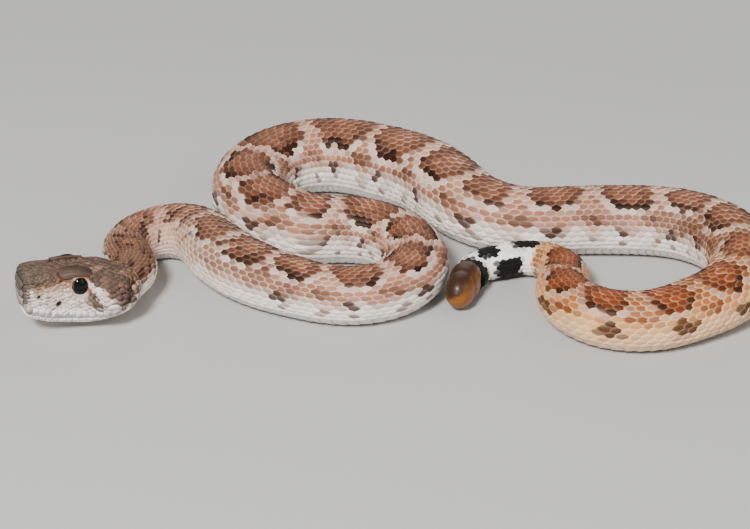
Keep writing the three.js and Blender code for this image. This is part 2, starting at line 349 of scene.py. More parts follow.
@dataclass
class HeadForm:
    """The outside of the head in front of the nape.

    The arc runs from the top round over the left, 0 to 1.
    """

    line: BackLine
    lift: float = 2.0
    length: float = 19.4
    turn: float = 40.0
    turn_reach: float = 6.0
    rise: tuple[float, float] = (0.123, 2.0)
    widest: float = 0.47
    search: tuple[float, float] = (-2.2, 1.5)
    marches: int = 26
    groove: tuple[float, float] = (0.24, 0.13)
    arcs: int = 720
    steps: int = 300
    stations: Table = field(
        default_factory=lambda: Table(
            (
                (0, 4.1, 8.0, 0.2, 2.1),
                (1.4, 5.7, 8.3, 0.6, 2.2),
                (3.2, 6.8, 8.7, 0.1, 2.3),
                (5.6, 6.4, 9.0, -0.8, 2.4),
                (8, 5.3, 9.1, -1.3, 2.6),
                (10.5, 4.5, 9.0, -1.3, 2.9),
                (13.5, 4.1, 9.0, -1.1, 3.1),
                (16.5, 3.8, 8.9, -0.6, 3.2),
                (18.4, 3.5, 8.6, 0.1, 3.1),
                (19.1, 3.1, 8.2, 0.8, 2.8),
                (19.4, 2.4, 7.5, 1.7, 2.5),
            )
        )
    )
    mouth: Table = field(
        default_factory=lambda: Table(
            ((3, 2.6), (6, 1.2), (9.5, 0.6), (13.5, 0.7), (17, 1.2), (22, 1.6))
        )
    )
    eye: tuple[float, float, float] = (9.4, 3.35, 6.75)
    eye_radius: float = 1.66
    eye_tall: float = 1.2
    pit: tuple[float, float, float] = (13.3, 4.05, 3.3)
    nostril: tuple[float, float, float] = (16.8, 3.75, 4.8)
    forms: tuple[Lump | Rim, ...] = (
        Lump((9.9, 2.55, 8.45), (3.3, 1.75, 1.15), 0.7, lean=16),
        Lump((14.6, 2.75, 8.15), (4.2, 0.75, 0.75), 0.7),
        Lump((4.6, 5.2, 3.9), (2.6, 1.75, 2.4), 1.0),
        Lump((13.4, 3.0, 2.2), (4.5, 1.15, 1.4), 0.8),
        Rim((9.4, 4.16, 6.75), 1.62, 1.2, 0.24, 0.3),
        Lump((9.4, 3.35, 6.75), (1.70, 1.70, 2.03), 0.12, hollow=True),
        Rim((13.3, 4.02, 3.3), 0.78, 1.0, 0.17, 0.25),
        Lump((13.3, 4.05, 3.3), (0.62, 0.62, 0.64), 0.15, hollow=True),
        Rim((16.8, 3.66, 4.8), 0.44, 0.9, 0.12, 0.25),
        Lump((16.8, 3.75, 4.8), (0.34, 0.6, 0.28), 0.1, hollow=True),
    )

    def __post_init__(self) -> None:
        """Samples the head densely, with arcs of even length, and works its forms into it."""
        self.places = self.rings(self.steps)
        theta = np.linspace(0, 2 * np.pi, 4 * self.arcs + 1)
        self.grid = np.zeros((self.steps, self.arcs + 1, 3))
        even = np.linspace(0, 1, self.arcs + 1)
        for i, at in enumerate(self.places):
            side, up = self.section(at, theta)
            run = np.concatenate([[0], np.cumsum(np.hypot(np.diff(side), np.diff(up)))])
            self.grid[i, :, 0] = at
            self.grid[i, :, 1] = np.interp(even, run / run[-1], side)
            self.grid[i, :, 2] = np.interp(even, run / run[-1], up)
        out = self._normals(self.grid)
        self.formed = self.grid + self._rise(out)[..., None] * out
        self.world = self.place(self.formed[..., 0], self.formed[..., 1], self.formed[..., 2])
        self.normals = self._normals(self.place(self.grid[..., 0], self.grid[..., 1], self.grid[..., 2]))

    def rings(self, count: int) -> Array:
        """Distances forward of rings round the head, closer together towards the snout."""
        return self.length * np.sin(np.linspace(0, np.pi / 2, count)) ** 0.85

    @property
    def heading(self) -> float:
        """The head's direction on the floor in radians."""
        return math.radians(self.line.heading - self.turn + 180)

    def _rise(self, out: Array) -> Array:
        """How far the forms lift or sink each point of the plain head along its normal.

        Args:
            out: The outward normals of the plain head.

        Returns:
            Heights, below 0 where the head sinks.
        """
        low, high = self.search
        rise = np.full(self.grid.shape[:2], high)
        for _ in range(self.marches):
            spot = self.grid + rise[..., None] * out
            spot[..., 1] = np.abs(spot[..., 1])
            far = rise
            for form in self.forms:
                if isinstance(form, Lump) and form.hollow:
                    far = -merge(-far, form.distance(spot), form.blend)
                else:
                    far = merge(far, form.distance(spot), form.blend)
            rise = np.clip(rise - 0.85 * far, low, high)
        at, flank, up = self.grid[..., 0], np.abs(self.grid[..., 1]), self.grid[..., 2]
        deep, breadth = self.groove
        rise = rise - deep * bell(up - self.mouth.value(0, at), breadth) * smooth(3.0, 4.0, at)
        fold, swell = jaw_crease(at, up, 0.42), jaw_crease(at, up, 0.7, 1.1)
        return rise + (0.16 * swell - 0.62 * fold) * smooth(2.5, 4.0, flank)

    def section(self, at: float, theta: Array) -> tuple[Array, Array]:
        """One section of the head, before it is set on its middle line.

        Args:
            at: Distance in front of the nape.
            theta: Angles round the section from its top.

        Returns:
            Distances sideways and heights.
        """
        half, top, low, square = (float(self.stations.value(k, np.array(at))) for k in range(4))
        power = 2 / square
        sine, cosine = np.sin(theta), np.cos(theta)
        middle = low + (top - low) * self.widest
        reach = np.where(cosine > 0, top - middle, middle - low)
        side = half * np.sign(sine) * np.abs(sine) ** power
        return side, middle + reach * np.sign(cosine) * np.abs(cosine) ** power

    def middle_line(self, at: Array) -> tuple[Array, Array, Array]:
        """The head's middle line in its own frame, turned at the nape and soon straight.

        Args:
            at: Distances in front of the nape.

        Returns:
            Distances ahead and to the left, and the angle there.
        """
        at = np.asarray(at, float)
        near = np.minimum(at, self.turn_reach)
        full = math.radians(self.turn)
        x, y = np.maximum(0, at - self.turn_reach), np.zeros_like(at)
        steps = 24
        for i in range(steps):
            angle = full * (1 - near * (i + 0.5) / (steps * self.turn_reach)) ** 2
            x = x + near / steps * np.cos(angle)
            y = y + near / steps * np.sin(angle)
        return x, y, full * (1 - near / self.turn_reach) ** 2

    def place(self, at: Array, side: Array, up: Array) -> Array:
        """Places points that are given in the head's frame.

        Args:
            at: Distance forward.
            side: Distance to the left.
            up: Height.

        Returns:
            Points in millimetres.
        """
        x, y, angle = self.middle_line(at)
        x, y = x - np.sin(angle) * side, y + np.cos(angle) * side
        slope, ease = self.rise
        up = up + slope * (np.hypot(np.maximum(x, 0), ease) - ease) + self.lift
        cosine, sine = math.cos(self.heading), math.sin(self.heading)
        nape_x, nape_y = self.line.nape
        return np.stack([nape_x + x * cosine - y * sine, nape_y + x * sine + y * cosine, up], -1)

    @staticmethod
    def _normals(points: Array) -> Array:
        """Outward normals of a grid of points.

        Args:
            points: The grid, its second axis closed.

        Returns:
            A normal of length 1 for each point.
        """
        forward = np.gradient(points, axis=0)
        ring = points[:, :-1]
        around = np.roll(ring, -1, 1) - np.roll(ring, 1, 1)
        around = np.concatenate([around, around[:, :1]], 1)
        return unit(np.cross(forward, around))

    def _read(self, grid: Array, at: Array, arc: Array) -> Array:
        """Reads a dense grid between its points.

        Args:
            grid: The grid.
            at: Distance in front of the nape.
            arc: Arc round the head.

        Returns:
            The values there.
        """
        i = np.interp(at, self.places, np.arange(self.steps))
        j = (arc % 1.0) * self.arcs
        i0 = np.clip(np.floor(i).astype(int), 0, self.steps - 2)
        j0 = np.clip(np.floor(j).astype(int), 0, self.arcs - 1)
        p, q = (i - i0)[..., None], (j - j0)[..., None]
        near = grid[i0, j0] * (1 - q) + grid[i0, j0 + 1] * q
        far = grid[i0 + 1, j0] * (1 - q) + grid[i0 + 1, j0 + 1] * q
        return near * (1 - p) + far * p

    def point(self, at: Array, arc: Array, over: Array | float = 0.0) -> Array:
        """Points over or under the head's outside, in millimetres."""
        over = np.asarray(over, float)[..., None]
        return self._read(self.world, at, arc) + over * unit(self._read(self.normals, at, arc))

    def snout(self, ring: Array, shares: Array) -> Array:
        """Rings that close the front of the snout with a low dome.

        Args:
            ring: The foremost ring of the skin.
            shares: How large each further ring is beside it.

        Returns:
            The rings.
        """
        centre = ring.mean(0)
        ahead = np.array([math.cos(self.heading), math.sin(self.heading), self.rise[0]])
        share = shares[:, None, None]
        return centre + (ring[None] - centre) * share + ahead * 0.22 * (1 - share**2)

    def local(self, at: Array, arc: Array) -> Array:
        """The same points as distance forward, sideways and up, in the head's own frame."""
        return self._read(self.grid, at, arc)

    def arc_at_height(self, at: float, up: float, side: Side) -> float:
        """The arc at which a flank of the head passes a height.

        Args:
            at: Distance in front of the nape.
            up: Height in the head's frame.
            side: Which flank.

        Returns:
            The arc, 0 to 1.
        """
        arcs = np.linspace(0.02, 0.48, 300)
        ups = self.local(np.full_like(arcs, at), arcs)[:, 2]
        return side.arc(float(np.interp(-up, -ups, arcs)))


class Palette:
    """The snake's colours as linear red, green and blue."""

    GROUND = (0.33, 0.138, 0.082)
    PALE = (0.58, 0.36, 0.26)
    WHITE = (0.88, 0.82, 0.77)
    RUST = (0.135, 0.044, 0.019)
    RUST_EDGE = (0.027, 0.0075, 0.0028)
    LATERAL = (0.155, 0.066, 0.034)
    HIND_GROUND = (0.48, 0.165, 0.047)
    HIND_RUST = (0.150, 0.029, 0.006)
    HIND_EDGE = (0.036, 0.009, 0.003)
    HIND_SAND = (0.92, 0.52, 0.22)
    RIM = (0.92, 0.68, 0.54)
    HIND_RIM = (0.98, 0.66, 0.36)
    TAIL_WHITE = (0.90, 0.89, 0.88)
    TAIL_BLACK = (0.008, 0.006, 0.006)
    HEAD_TOP = (0.072, 0.036, 0.024)
    HEAD_OLIVE = (0.085, 0.060, 0.036)
    HEAD_ORANGE = (0.22, 0.072, 0.020)
    HEAD_PINK = (0.66, 0.56, 0.52)
    LIP = (0.84, 0.82, 0.83)
    # Painted shade over the blunt front of the snout, darker than the lip beside it.
    SNOUT_FRONT_SHADE = (0.075, 0.060, 0.045)
    # Painted shade inside the pit and the nostril.
    HOLE_SHADE = (0.05, 0.026, 0.018)
    IRIS = (0.10, 0.048, 0.018)
    PUPIL = (0.003, 0.003, 0.003)
    EYE_EDGE = (0.02, 0.013, 0.01)
    AMBER = (0.24, 0.080, 0.008)
    # Painted shade over the top and one flank of the horn.
    AMBER_PAINTED_SHADE = (0.036, 0.012, 0.004)
    # Painted shade in the waist groove of the horn.
    AMBER_WAIST_SHADE = (0.045, 0.016, 0.006)
    HORN_ROOT = (0.012, 0.007, 0.005)


def tint(colour: Colour, shape: tuple[int, ...]) -> Array:
    """Spreads one colour over an array."""
    return np.broadcast_to(np.array(colour, float), (*shape, 3)).copy()


def shaded(colour: Colour, amount: float) -> Array:
    """Makes a colour darker or lighter."""
    return np.array(colour) * amount


def blend(under: Array, colour: Array | Colour, share: Array) -> Array:
    """Lays a colour over another by a share from 0 to 1."""
    share = np.clip(share, 0, 1)[..., None]
    return under * (1 - share) + np.array(colour, float) * share


class Waver:
    """Smooth, repeatable unevenness over a surface, as a sum of a few seeded waves."""

    def __init__(self, seed: int, size: float, waves: int = 7) -> None:
        """Draws the waves.

        Args:
            seed: Seed of the draw.
            size: Rough size of a lump, in the units of the places read.
            waves: How many waves are summed.
        """
        draw = np.random.default_rng(seed)
        angles = draw.uniform(0, 2 * np.pi, waves)
        pitch = 2 * np.pi / (size * draw.uniform(1.2, 3.2, waves))
        self.u, self.v = pitch * np.cos(angles), pitch * np.sin(angles)
        self.phase = draw.uniform(0, 2 * np.pi, waves)

    def at(self, a: Array, b: Array) -> Array:
        """Unevenness at places, about -1 to 1."""
        total = sum(np.sin(u * a + v * b + p) for u, v, p in zip(self.u, self.v, self.phase))
        return total / math.sqrt(len(self.u) * 1.1)


@dataclass(frozen=True)
class Stretch:
    """A stretch of the body in a tone of its own, with soft, ragged borders."""

    begins: tuple[float, float]
    ends: tuple[float, float]
    across: tuple[float, float]
    colour: Colour
    shade: float
    share: float
    ragged: float = 8.0

    def lay(self, colour: Array, spots: "BodySpots") -> Array:
        """Lays the tone over a colour.

        Args:
            colour: The colours so far.
            spots: The places on the body.

        Returns:
            The new colours.
        """
        cover = smooth(*self.begins, spots.s) * smooth(*self.ends, spots.s)
        cover = cover * smooth(*self.across, spots.away + self.ragged * spots.coarse)
        return blend(colour, shaded(self.colour, self.shade), self.share * cover)


@dataclass(frozen=True)
class BodySpots:
    """Places on the body to be coloured, with the unevenness there."""

    s: Array
    away: Array
    over: Array
    coarse: Array
    hind: Array
    early: Array


@dataclass(frozen=True)
class HeadSpots:
    """Places on the head to be coloured, with the unevenness there."""

    at: Array
    flank: Array
    up: Array
    mouth: Array
    wave: Array
    broad: Array


@dataclass
class Markings:
    """The pattern of the body and the head as functions of the place on them."""

    blotches: tuple[tuple[float, float, float], ...] = (
        (9, 3.6, 34),
        (19, 4.0, 36),
        (29.5, 4.3, 40),
        (40.5, 4.4, 42),
        (51, 4.4, 42),
        (61.5, 4.3, 40),
        (72, 4.3, 42),
        (83, 4.6, 42),
        (93.5, 4.2, 46),
        (104.2, 5.3, 50),
        (114.8, 3.9, 40),
        (125, 4.9, 50),
        (135, 4.8, 44),
        (147.5, 5.7, 48),
        (162.5, 5.9, 50),
        (176, 5.6, 50),
        (189, 5.2, 48),
        (200, 4.0, 44),
        (212, 5.1, 38),
        (225.5, 4.9, 42),
        (237, 4.3, 38),
        (247.2, 4.3, 42),
        (258, 4.5, 42),
        (269.5, 4.3, 46),
        (281, 3.9, 52),
        (291.5, 3.7, 48),
        (301.5, 4.0, 48),
        (312.3, 5.3, 50),
    )
    stretches: tuple[Stretch, ...] = (
        Stretch((27, 34), (64, 52), (88, 60), Palette.LATERAL, 0.85, 0.72),
        Stretch((-2, -1), (20, 12), (80, 55), Palette.LATERAL, 0.80, 0.85),
        Stretch((228, 240), (264, 254), (96, 66), Palette.LATERAL, 0.80, 0.75),
        Stretch((256, 266), (316, 306), (58, 30), Palette.HIND_RUST, 0.90, 0.62, 6.0),
        Stretch((256, 268), (316, 310), (52, 72), Palette.HIND_SAND, 1.0, 0.50, 6.0),
    )
    hind_from: tuple[float, float] = (236, 268)
    white_from: tuple[float, float] = (320.2, 321.6)
    bands: tuple[tuple[float, float, float, float], ...] = (
        (323.3, 2.5, -4, 30),
        (330.9, 1.9, -4, 34),
        (326.9, 2.8, 54, 184),
    )
    last_band: tuple[float, float] = (333.7, 334.3)
    eye: tuple[float, float] = (9.4, 6.75)
    cheek_blotch: tuple[float, float] = (6.7, 4.6)
    openings: tuple[tuple[float, float, float], ...] = ((13.45, 3.35, 0.58), (16.8, 4.8, 0.34))
    dots: tuple[tuple[float, float], ...] = ((14.85, 3.0), (15.35, 4.7))

    def __post_init__(self) -> None:
        """Prepares the unevenness that the edges and tones share."""
        self.coarse = Waver(3, 3.0)
        self.fine = Waver(8, 1.1)
        self.broad = Waver(5, 12.0)

    def body(self, s: Array, angle: Array) -> Array:
        """Colours of the body behind the nape.

        Args:
            s: Distance behind the nape.
            angle: Angle from the spine.

        Returns:
            Linear colours.
        """
        degrees = np.degrees((angle + np.pi) % (2 * np.pi) - np.pi)
        over = degrees / 8
        coarse = self.coarse.at(s, over)
        hind = self.hind(s + 1.5 * coarse)
        spots = BodySpots(s, np.abs(degrees), over, coarse, hind, smooth(60, 34, s))
        colour = self._ground(spots)
        colour = self._saddles(colour, spots)
        colour = self._flanks(colour, spots)
        colour = self._flecks(colour, spots)
        colour = self._tail(colour, spots)
        belly = (smooth(110, 122, spots.away) * smooth(322, 316, s))[..., None]
        under = blend(tint(Palette.WHITE, s.shape), Palette.HIND_SAND, 0.5 * hind)
        under = under * (1 - 0.14 * smooth(0.3, 1.2, self.coarse.at(s, over * 1.5)))[..., None]
        return colour * (1 - belly) + under * belly

    def hind(self, s: Array) -> Array:
        """Share of the warm colours of the hind body."""
        return smooth(*self.hind_from, s)

    def rim(self, s: Array) -> Array:
        """Colour of the light rims of the scales."""
        return blend(tint(Palette.RIM, s.shape), Palette.HIND_RIM, self.hind(s) * smooth(322, 316, s))

    def _ground(self, spots: BodySpots) -> Array:
        """The colours between and under the markings.

        Args:
            spots: The places on the body.

        Returns:
            The colours.
        """
        s, away, coarse, hind = spots.s, spots.away, spots.coarse, spots.hind
        ground = blend(tint(Palette.GROUND, s.shape), Palette.HIND_GROUND, hind)
        uneven = 0.16 * self.fine.at(s, spots.over) + 0.10 * self.broad.at(s, spots.over)
        ground = ground * (1 + uneven)[..., None]
        flank = smooth(64, 98, away + 5 * coarse)
        colour = blend(ground, Palette.WHITE, flank * (1 - 0.62 * hind))
        for stretch in self.stretches:
            colour = stretch.lay(colour, spots)
        pale = smooth(25, 60, away + 8 * coarse) * spots.early * smooth(12, 20, s)
        return blend(colour, Palette.PALE, 0.7 * pale)

    def _saddles(self, colour: Array, spots: BodySpots) -> Array:
        """Lays the row of blotches along the back, each with a pale border and a dark ragged edge.

        Args:
            colour: The colours so far.
            spots: The places on the body.

        Returns:
            The new colours.
        """
        s, away, hind, early = spots.s, spots.away, spots.hind, spots.early
        rust = blend(tint(Palette.RUST, s.shape), Palette.HIND_RUST, hind)
        edge = blend(tint(Palette.RUST_EDGE, s.shape), Palette.HIND_EDGE, hind)
        fine, coarse = self.fine.at(s * 1.1 + 9, spots.over), self.coarse.at(s + 30, spots.over)
        for centre, reach, spread in self.blotches:
            along = np.abs(s - centre - 0.5 * coarse) / reach
            across = away / (spread + 4.0 * fine)
            inside = (along**2.3 + across**2.3) ** (1 / 2.3) + 0.10 * early * coarse
            halo = smooth(1.34, 1.12, inside + 0.12 * fine) * smooth(1.0, 1.12, inside)
            halo = halo * smooth(14, 40, s)
            colour = blend(colour, Palette.PALE, 0.75 * halo * (1 - 0.5 * hind))
            white = halo * smooth(20, 45, away)
            colour = blend(colour, Palette.WHITE, 0.40 * white * (1 - 0.6 * hind))
            fill = rust * (1.60 - 0.45 * smooth(0.2, 0.75, inside) + 0.34 * fine)[..., None]
            rim = smooth(0.62, 0.90, inside + 0.20 * coarse + 0.12 * fine)
            rim = (rim * (0.30 + 0.70 * smooth(12, 34, away)))[..., None]
            fill = fill * (1 - rim) + edge * rim
            share = (smooth(1.06, 0.97, inside) * (1 - 0.25 * early))[..., None]
            colour = colour * (1 - share) + fill * share
        return colour

    def _flanks(self, colour: Array, spots: BodySpots) -> Array:
        """Lays the spots of the flanks: faint ones between the blotches and small dark ones lower.

        Args:
            colour: The colours so far.
            spots: The places on the body.

        Returns:
            The new colours.
        """
        s, away, hind = spots.s, spots.away, spots.hind
        lateral = blend(tint(Palette.LATERAL, s.shape), Palette.HIND_RUST, hind)
        edge = blend(tint(Palette.RUST_EDGE, s.shape), Palette.HIND_EDGE, hind)
        centres = np.array([b[0] for b in self.blotches])
        gaps = (centres[1:] + centres[:-1]) / 2
        fine = self.fine.at(s + 17, spots.over)
        for centre in gaps[(gaps > 60) & (gaps < 306)]:
            spot = np.hypot((s - centre) / 3.1, (away - 61) / 11)
            colour = blend(colour, lateral, 0.85 * smooth(1.2, 0.35, spot + 0.22 * fine))
            heart = smooth(0.7, 0.2, spot + 0.3 * fine)
            colour = blend(colour, edge * 2.2, 0.55 * heart * (1 - hind))
            low = np.hypot((s - centre - 0.6) / 1.2, (away - 99) / 6.5)
            low = smooth(1.25, 0.7, low + 0.28 * fine)
            colour = blend(colour, lateral * 0.8, 0.8 * low * (1 - hind))
        for centre in centres[(centres > 56) & (centres < 306)]:
            size = 1.0 + 0.45 * float(self.hind(np.array(centre)))
            spot = np.hypot((s - centre + 1.3) / (1.45 * size), (away - 81) / (8.5 * size))
            colour = blend(colour, edge * 1.3, 0.93 * smooth(1.25, 0.75, spot + 0.28 * fine))
            low = np.hypot((s - centre + 0.4) / 1.0, (away - 101) / 6)
            low = smooth(1.25, 0.7, low + 0.28 * fine)
            colour = blend(colour, lateral * 0.7, 0.75 * low * (1 - 0.6 * hind))
        return colour

    def _flecks(self, colour: Array, spots: BodySpots) -> Array:
        """Lays the dark flecks of the nape and the front run.

        Args:
            colour: The colours so far.
            spots: The places on the body.

        Returns:
            The new colours.
        """
        s, away = spots.s, spots.away
        fleck = smooth(0.35, 0.8, self.fine.at(s * 1.5 + 40, spots.over * 1.5))
        nape = smooth(34, 14, s) * smooth(104, 74, away) * 0.9
        front = smooth(72, 54, s) * smooth(96, 54, away) * 0.65
        return blend(colour, shaded(Palette.RUST_EDGE, 1.3), np.clip(nape + front, 0, 0.9) * fleck)

    def _tail(self, colour: Array, spots: BodySpots) -> Array:
        """Lays the white tail with its black bands.

        Args:
            colour: The colours so far.
            spots: The places on the body.

        Returns:
            The new colours.
        """
        ragged = 0.35 * self.fine.at(spots.s, spots.over)
        s, away = spots.s + ragged, spots.away + 3 * ragged
        orange = smooth(1.2, 0.8, np.abs(s - 319.2) / 1.5) * smooth(22, 34, spots.away)
        colour = blend(colour, Palette.HEAD_ORANGE, 0.8 * orange)
        colour = blend(colour, Palette.TAIL_WHITE, smooth(*self.white_from, s))
        for centre, reach, low, high in self.bands:
            band = smooth(1.15, 0.9, np.abs(s - centre) / reach)
            band = band * smooth(low - 3, low + 3, away) * smooth(high + 3, high - 3, away)
            colour = blend(colour, Palette.TAIL_BLACK, band)
        return blend(colour, Palette.TAIL_BLACK, smooth(*self.last_band, s))

    def head(self, at: Array, side: Array, up: Array, mouth: Array) -> Array:
        """Colours of the head.

        Args:
            at: Distance in front of the nape.
            side: Distance from the middle.
            up: Height in the head's frame.
            mouth: Height of the line of the mouth there.

        Returns:
            Linear colours.
        """
        wave = self.fine.at(at * 0.9, side * 1.1 + up)
        broad = self.coarse.at(at, side + up)
        spots = HeadSpots(at, np.abs(side), up, mouth, wave, broad)
        colour = tint(Palette.HEAD_TOP, at.shape)
        colour = blend(colour, Palette.HEAD_OLIVE, 0.8 * smooth(12.5, 16.5, at))
        streak = smooth(0.1, 0.9, self.fine.at(at * 0.45 + 11, (side + up) * 1.5)) * smooth(9, 5, at)
        colour = blend(colour, shaded(Palette.GROUND, 0.75), 0.6 * streak)
        colour = colour * (1 + 0.26 * wave + 0.12 * broad)[..., None]
        ridge = 7.75 - 0.257 * (at - 11)
        face = smooth(0.35, -0.35, up - ridge + 0.15 * wave) * smooth(7.4, 8.6, at)
        colour = self._face(colour, spots, ridge, face)
        colour = self._cheek(colour, spots)
        return self._mouth(colour, spots, face)

    def _face(self, colour: Array, spots: HeadSpots, ridge: Array, face: Array) -> Array:
        """Lays the pale face, the orange line of the canthus over it, and the lids.

        Args:
            colour: The colours so far.
            spots: The places on the head.
            ridge: Height of the canthus.
            face: Share of the pale face.

        Returns:
            The new colours.
        """
        at, flank, up = spots.at, spots.flank, spots.up
        colour = blend(colour, Palette.HEAD_PINK, 0.97 * face)
        smudge = smooth(0.2, 0.9, spots.broad) * smooth(2.6, 0.4, ridge - up)
        colour = blend(colour, Palette.HEAD_ORANGE, 0.45 * smudge * face * smooth(10.5, 12, at))
        canthus = bell(up - ridge + 0.25, 0.75) * smooth(10.0, 11.0, at) * smooth(18.6, 17.6, at)
        colour = blend(colour, Palette.HEAD_ORANGE, 0.85 * canthus * smooth(1.0, 2.2, flank))
        eye_at, eye_up = self.eye
        around = np.hypot(at - eye_at, (up - eye_up) / 1.2)
        lid = smooth(2.3, 2.0, around) * (0.25 + 0.75 * smooth(9.8, 8.4, at - 0.7 * (up - eye_up)))
        return blend(colour, Palette.HEAD_ORANGE, 0.92 * lid * smooth(2.8, 3.4, flank))

    def _cheek(self, colour: Array, spots: HeadSpots) -> Array:
        """Lays the blotch behind the eye, the pale stripe over it, and the pale corner of the jaw.

        Args:
            colour: The colours so far.
            spots: The places on the head.

        Returns:
            The new colours.
        """
        at, flank, up, wave = spots.at, spots.flank, spots.up, spots.wave
        blotch = np.hypot((at - self.cheek_blotch[0]) / 1.75, (up - self.cheek_blotch[1]) / 1.35)
        colour = blend(colour, Palette.HEAD_OLIVE, 0.95 * smooth(1.25, 0.85, blotch + 0.2 * wave))
        stripe = np.abs(up - (7.3 - 0.98 * (7.9 - at)) + 0.25 * wave) / (0.55 + 0.14 * (8.4 - at))
        stripe = smooth(1.25, 0.8, stripe) * smooth(3.9, 4.6, at) * smooth(8.6, 8.0, at)
        colour = blend(colour, Palette.HEAD_PINK, 0.95 * stripe * smooth(3.6, 4.2, flank))
        corner = smooth(4.0, 3.0, up + 0.3 * wave) * smooth(5.9, 5.0, at) * smooth(1.6, 2.4, at)
        return blend(colour, Palette.HEAD_PINK, 0.85 * corner)

    def _mouth(self, colour: Array, spots: HeadSpots, face: Array) -> Array:
        """Lays the snout's front in painted shade, the lips and throat, and painted shade in the openings
        and the crease of the jaw.

        Args:
            colour: The colours so far.
            spots: The places on the head.
            face: Share of the pale face.

        Returns:
            The new colours.
        """
        at, flank, up = spots.at, spots.flank, spots.up
        # Painted shade: the front of the snout is painted dark, and the white of the lip and throat is
        # dimmed there.
        colour = blend(colour, Palette.SNOUT_FRONT_SHADE, 0.9 * smooth(17.9, 18.7, at))
        corner = bell(at - 17.9, 0.35) * smooth(6.6, 6.0, up)
        colour = blend(colour, Palette.LIP, 0.8 * corner * smooth(2.0, 2.8, flank))
        over_mouth = up - spots.mouth
        lip = smooth(2.2, 1.4, over_mouth) * smooth(2.5, 6, at) * (1 - 0.55 * smooth(18.4, 19.2, at))
        colour = blend(colour, Palette.LIP, 0.92 * lip)
        specks = smooth(0.62, 0.95, self.fine.at(at * 1.9 + 5, up * 2.1)) * face * smooth(5.6, 4.6, up)
        colour = blend(colour, shaded(Palette.HEAD_TOP, 0.8), 0.55 * specks * smooth(12, 13, at))
        throat = smooth(0.1, -0.5, over_mouth) * (1 - 0.35 * smooth(18.6, 19.3, at))
        colour = blend(colour, Palette.WHITE, throat)
        colour = blend(colour, Palette.WHITE, smooth(1.8, 0.9, up) * smooth(4.5, 2.0, at))
        outer = smooth(2, 3, flank)
        # Painted shade: the pit and the nostril are painted dark where they sink into the head.
        for hole_at, hole_up, reach in self.openings:
            hole = np.hypot(at - hole_at, (up - hole_up) * 1.1)
            colour = blend(colour, Palette.HOLE_SHADE, smooth(reach * 1.2, reach * 0.8, hole) * outer)
        for dot_at, dot_up in self.dots:
            dot = smooth(0.42, 0.22, np.hypot(at - dot_at, up - dot_up))
            colour = blend(colour, Palette.RUST_EDGE, 0.85 * dot * outer)
        # Painted shade: the crease behind the jaw is darkened along its line.
        crease = jaw_crease(at, up, 0.45) * smooth(2.5, 4.0, flank)
        return blend(colour, Palette.RUST_EDGE, 0.8 * crease)


def ring_quads(rings: int, sectors: int) -> Array:
    """Faces between closed rings of points.

    Args:
        rings: How many rings there are.
        sectors: How many points a ring has.

    Returns:
        Faces of four corners.
    """
    index = np.arange(rings * sectors).reshape(rings, sectors)
    turned = np.roll(index, -1, 1)
    return np.stack([index[:-1], turned[:-1], turned[1:], index[1:]], -1).reshape(-1, 4)


def ring_ends(rings: int, sectors: int) -> Faces:
    """The two faces that close the first and the last ring."""
    last = (rings - 1) * sectors
    return [tuple(range(sectors - 1, -1, -1)), tuple(range(last, last + sectors))]


def sheet_faces(rows: int, columns: int) -> tuple[Array, Array, Faces]:
    """Faces of a sheet of points, with walls down to a second rim and an underside.

    Args:
        rows: Rows of points.
        columns: Points in a row.

    Returns:
        The points of the sheet's rim, the faces of four corners, and the underside.
    """
    index = np.arange(rows * columns).reshape(rows, columns)
    sheet = np.stack([index[:-1, :-1], index[:-1, 1:], index[1:, 1:], index[1:, :-1]], -1)
    rim = np.concatenate([index[0, :], index[1:, -1], index[-1, -2::-1], index[-2:0:-1, 0]])
    low = np.arange(len(rim)) + index.size
    walls = np.stack([rim, low, np.roll(low, -1), np.roll(rim, -1)], -1)
    return rim, np.concatenate([sheet.reshape(-1, 4), walls]), [tuple(low[::-1].tolist())]


def gather(count: int, size: int, quads: Array, unders: Faces) -> tuple[Array, Faces]:
    """Repeats one scale's faces for many scales.

    Args:
        count: How many scales there are.
        size: How many points a scale has.
        quads: The scale's faces of four corners.
        unders: The scale's further faces.

    Returns:
        The faces of four corners and the further faces of all scales.
    """
    steps = np.arange(count) * size
    faces = (quads[None] + steps[:, None, None]).reshape(-1, 4)
    fans = [tuple(k + step for k in under) for step in steps.tolist() for under in unders]
    return faces, fans


def make_mesh(name: str, points: Array, quads: Array, fans: Faces | None = None) -> bpy.types.Object:
    """Makes a smooth mesh object in metres from points in millimetres.

    Args:
        name: The object's name.
        points: Points in millimetres.
        quads: Faces of four corners.
        fans: Any further faces.

    Returns:
        The linked object.
    """
    mesh = bpy.data.meshes.new(name)
    points = np.asarray(points, float).reshape(-1, 3) * MM
    extra = fans or []
    corners = np.concatenate([quads.ravel(), *[np.array(f) for f in extra]]).astype(np.int32)
    sizes = np.concatenate([np.full(len(quads), 4), [len(f) for f in extra]]).astype(np.int32)
    starts = np.concatenate([[0], np.cumsum(sizes)[:-1]]).astype(np.int32)
    mesh.vertices.add(len(points))
    mesh.vertices.foreach_set("co", points.ravel().astype(np.float32))
    mesh.loops.add(len(corners))
    mesh.loops.foreach_set("vertex_index", corners)
    mesh.polygons.add(len(sizes))
    mesh.polygons.foreach_set("loop_start", starts)
    mesh.polygons.foreach_set("loop_total", sizes)
    mesh.polygons.foreach_set("use_smooth", np.full(len(sizes), True))
    mesh.update(calc_edges=True)
    mesh.validate()
    made = bpy.data.objects.new(name, mesh)
    bpy.context.scene.collection.objects.link(made)
    return made


def paint(piece: bpy.types.Object, name: str, colours: Array) -> None:
    """Stores one linear colour per point under a name.

    Args:
        piece: The mesh object.
        name: The name that the finishes read.
        colours: Red, green and blue of each point.
    """
    layer = piece.data.attributes.new(name, "FLOAT_COLOR", "POINT")
    rgba = np.ones((len(piece.data.vertices), 4), np.float32)
    rgba[:, :3] = np.clip(colours.reshape(-1, 3), 0, 1)
    layer.data.foreach_set("color", rgba.ravel())


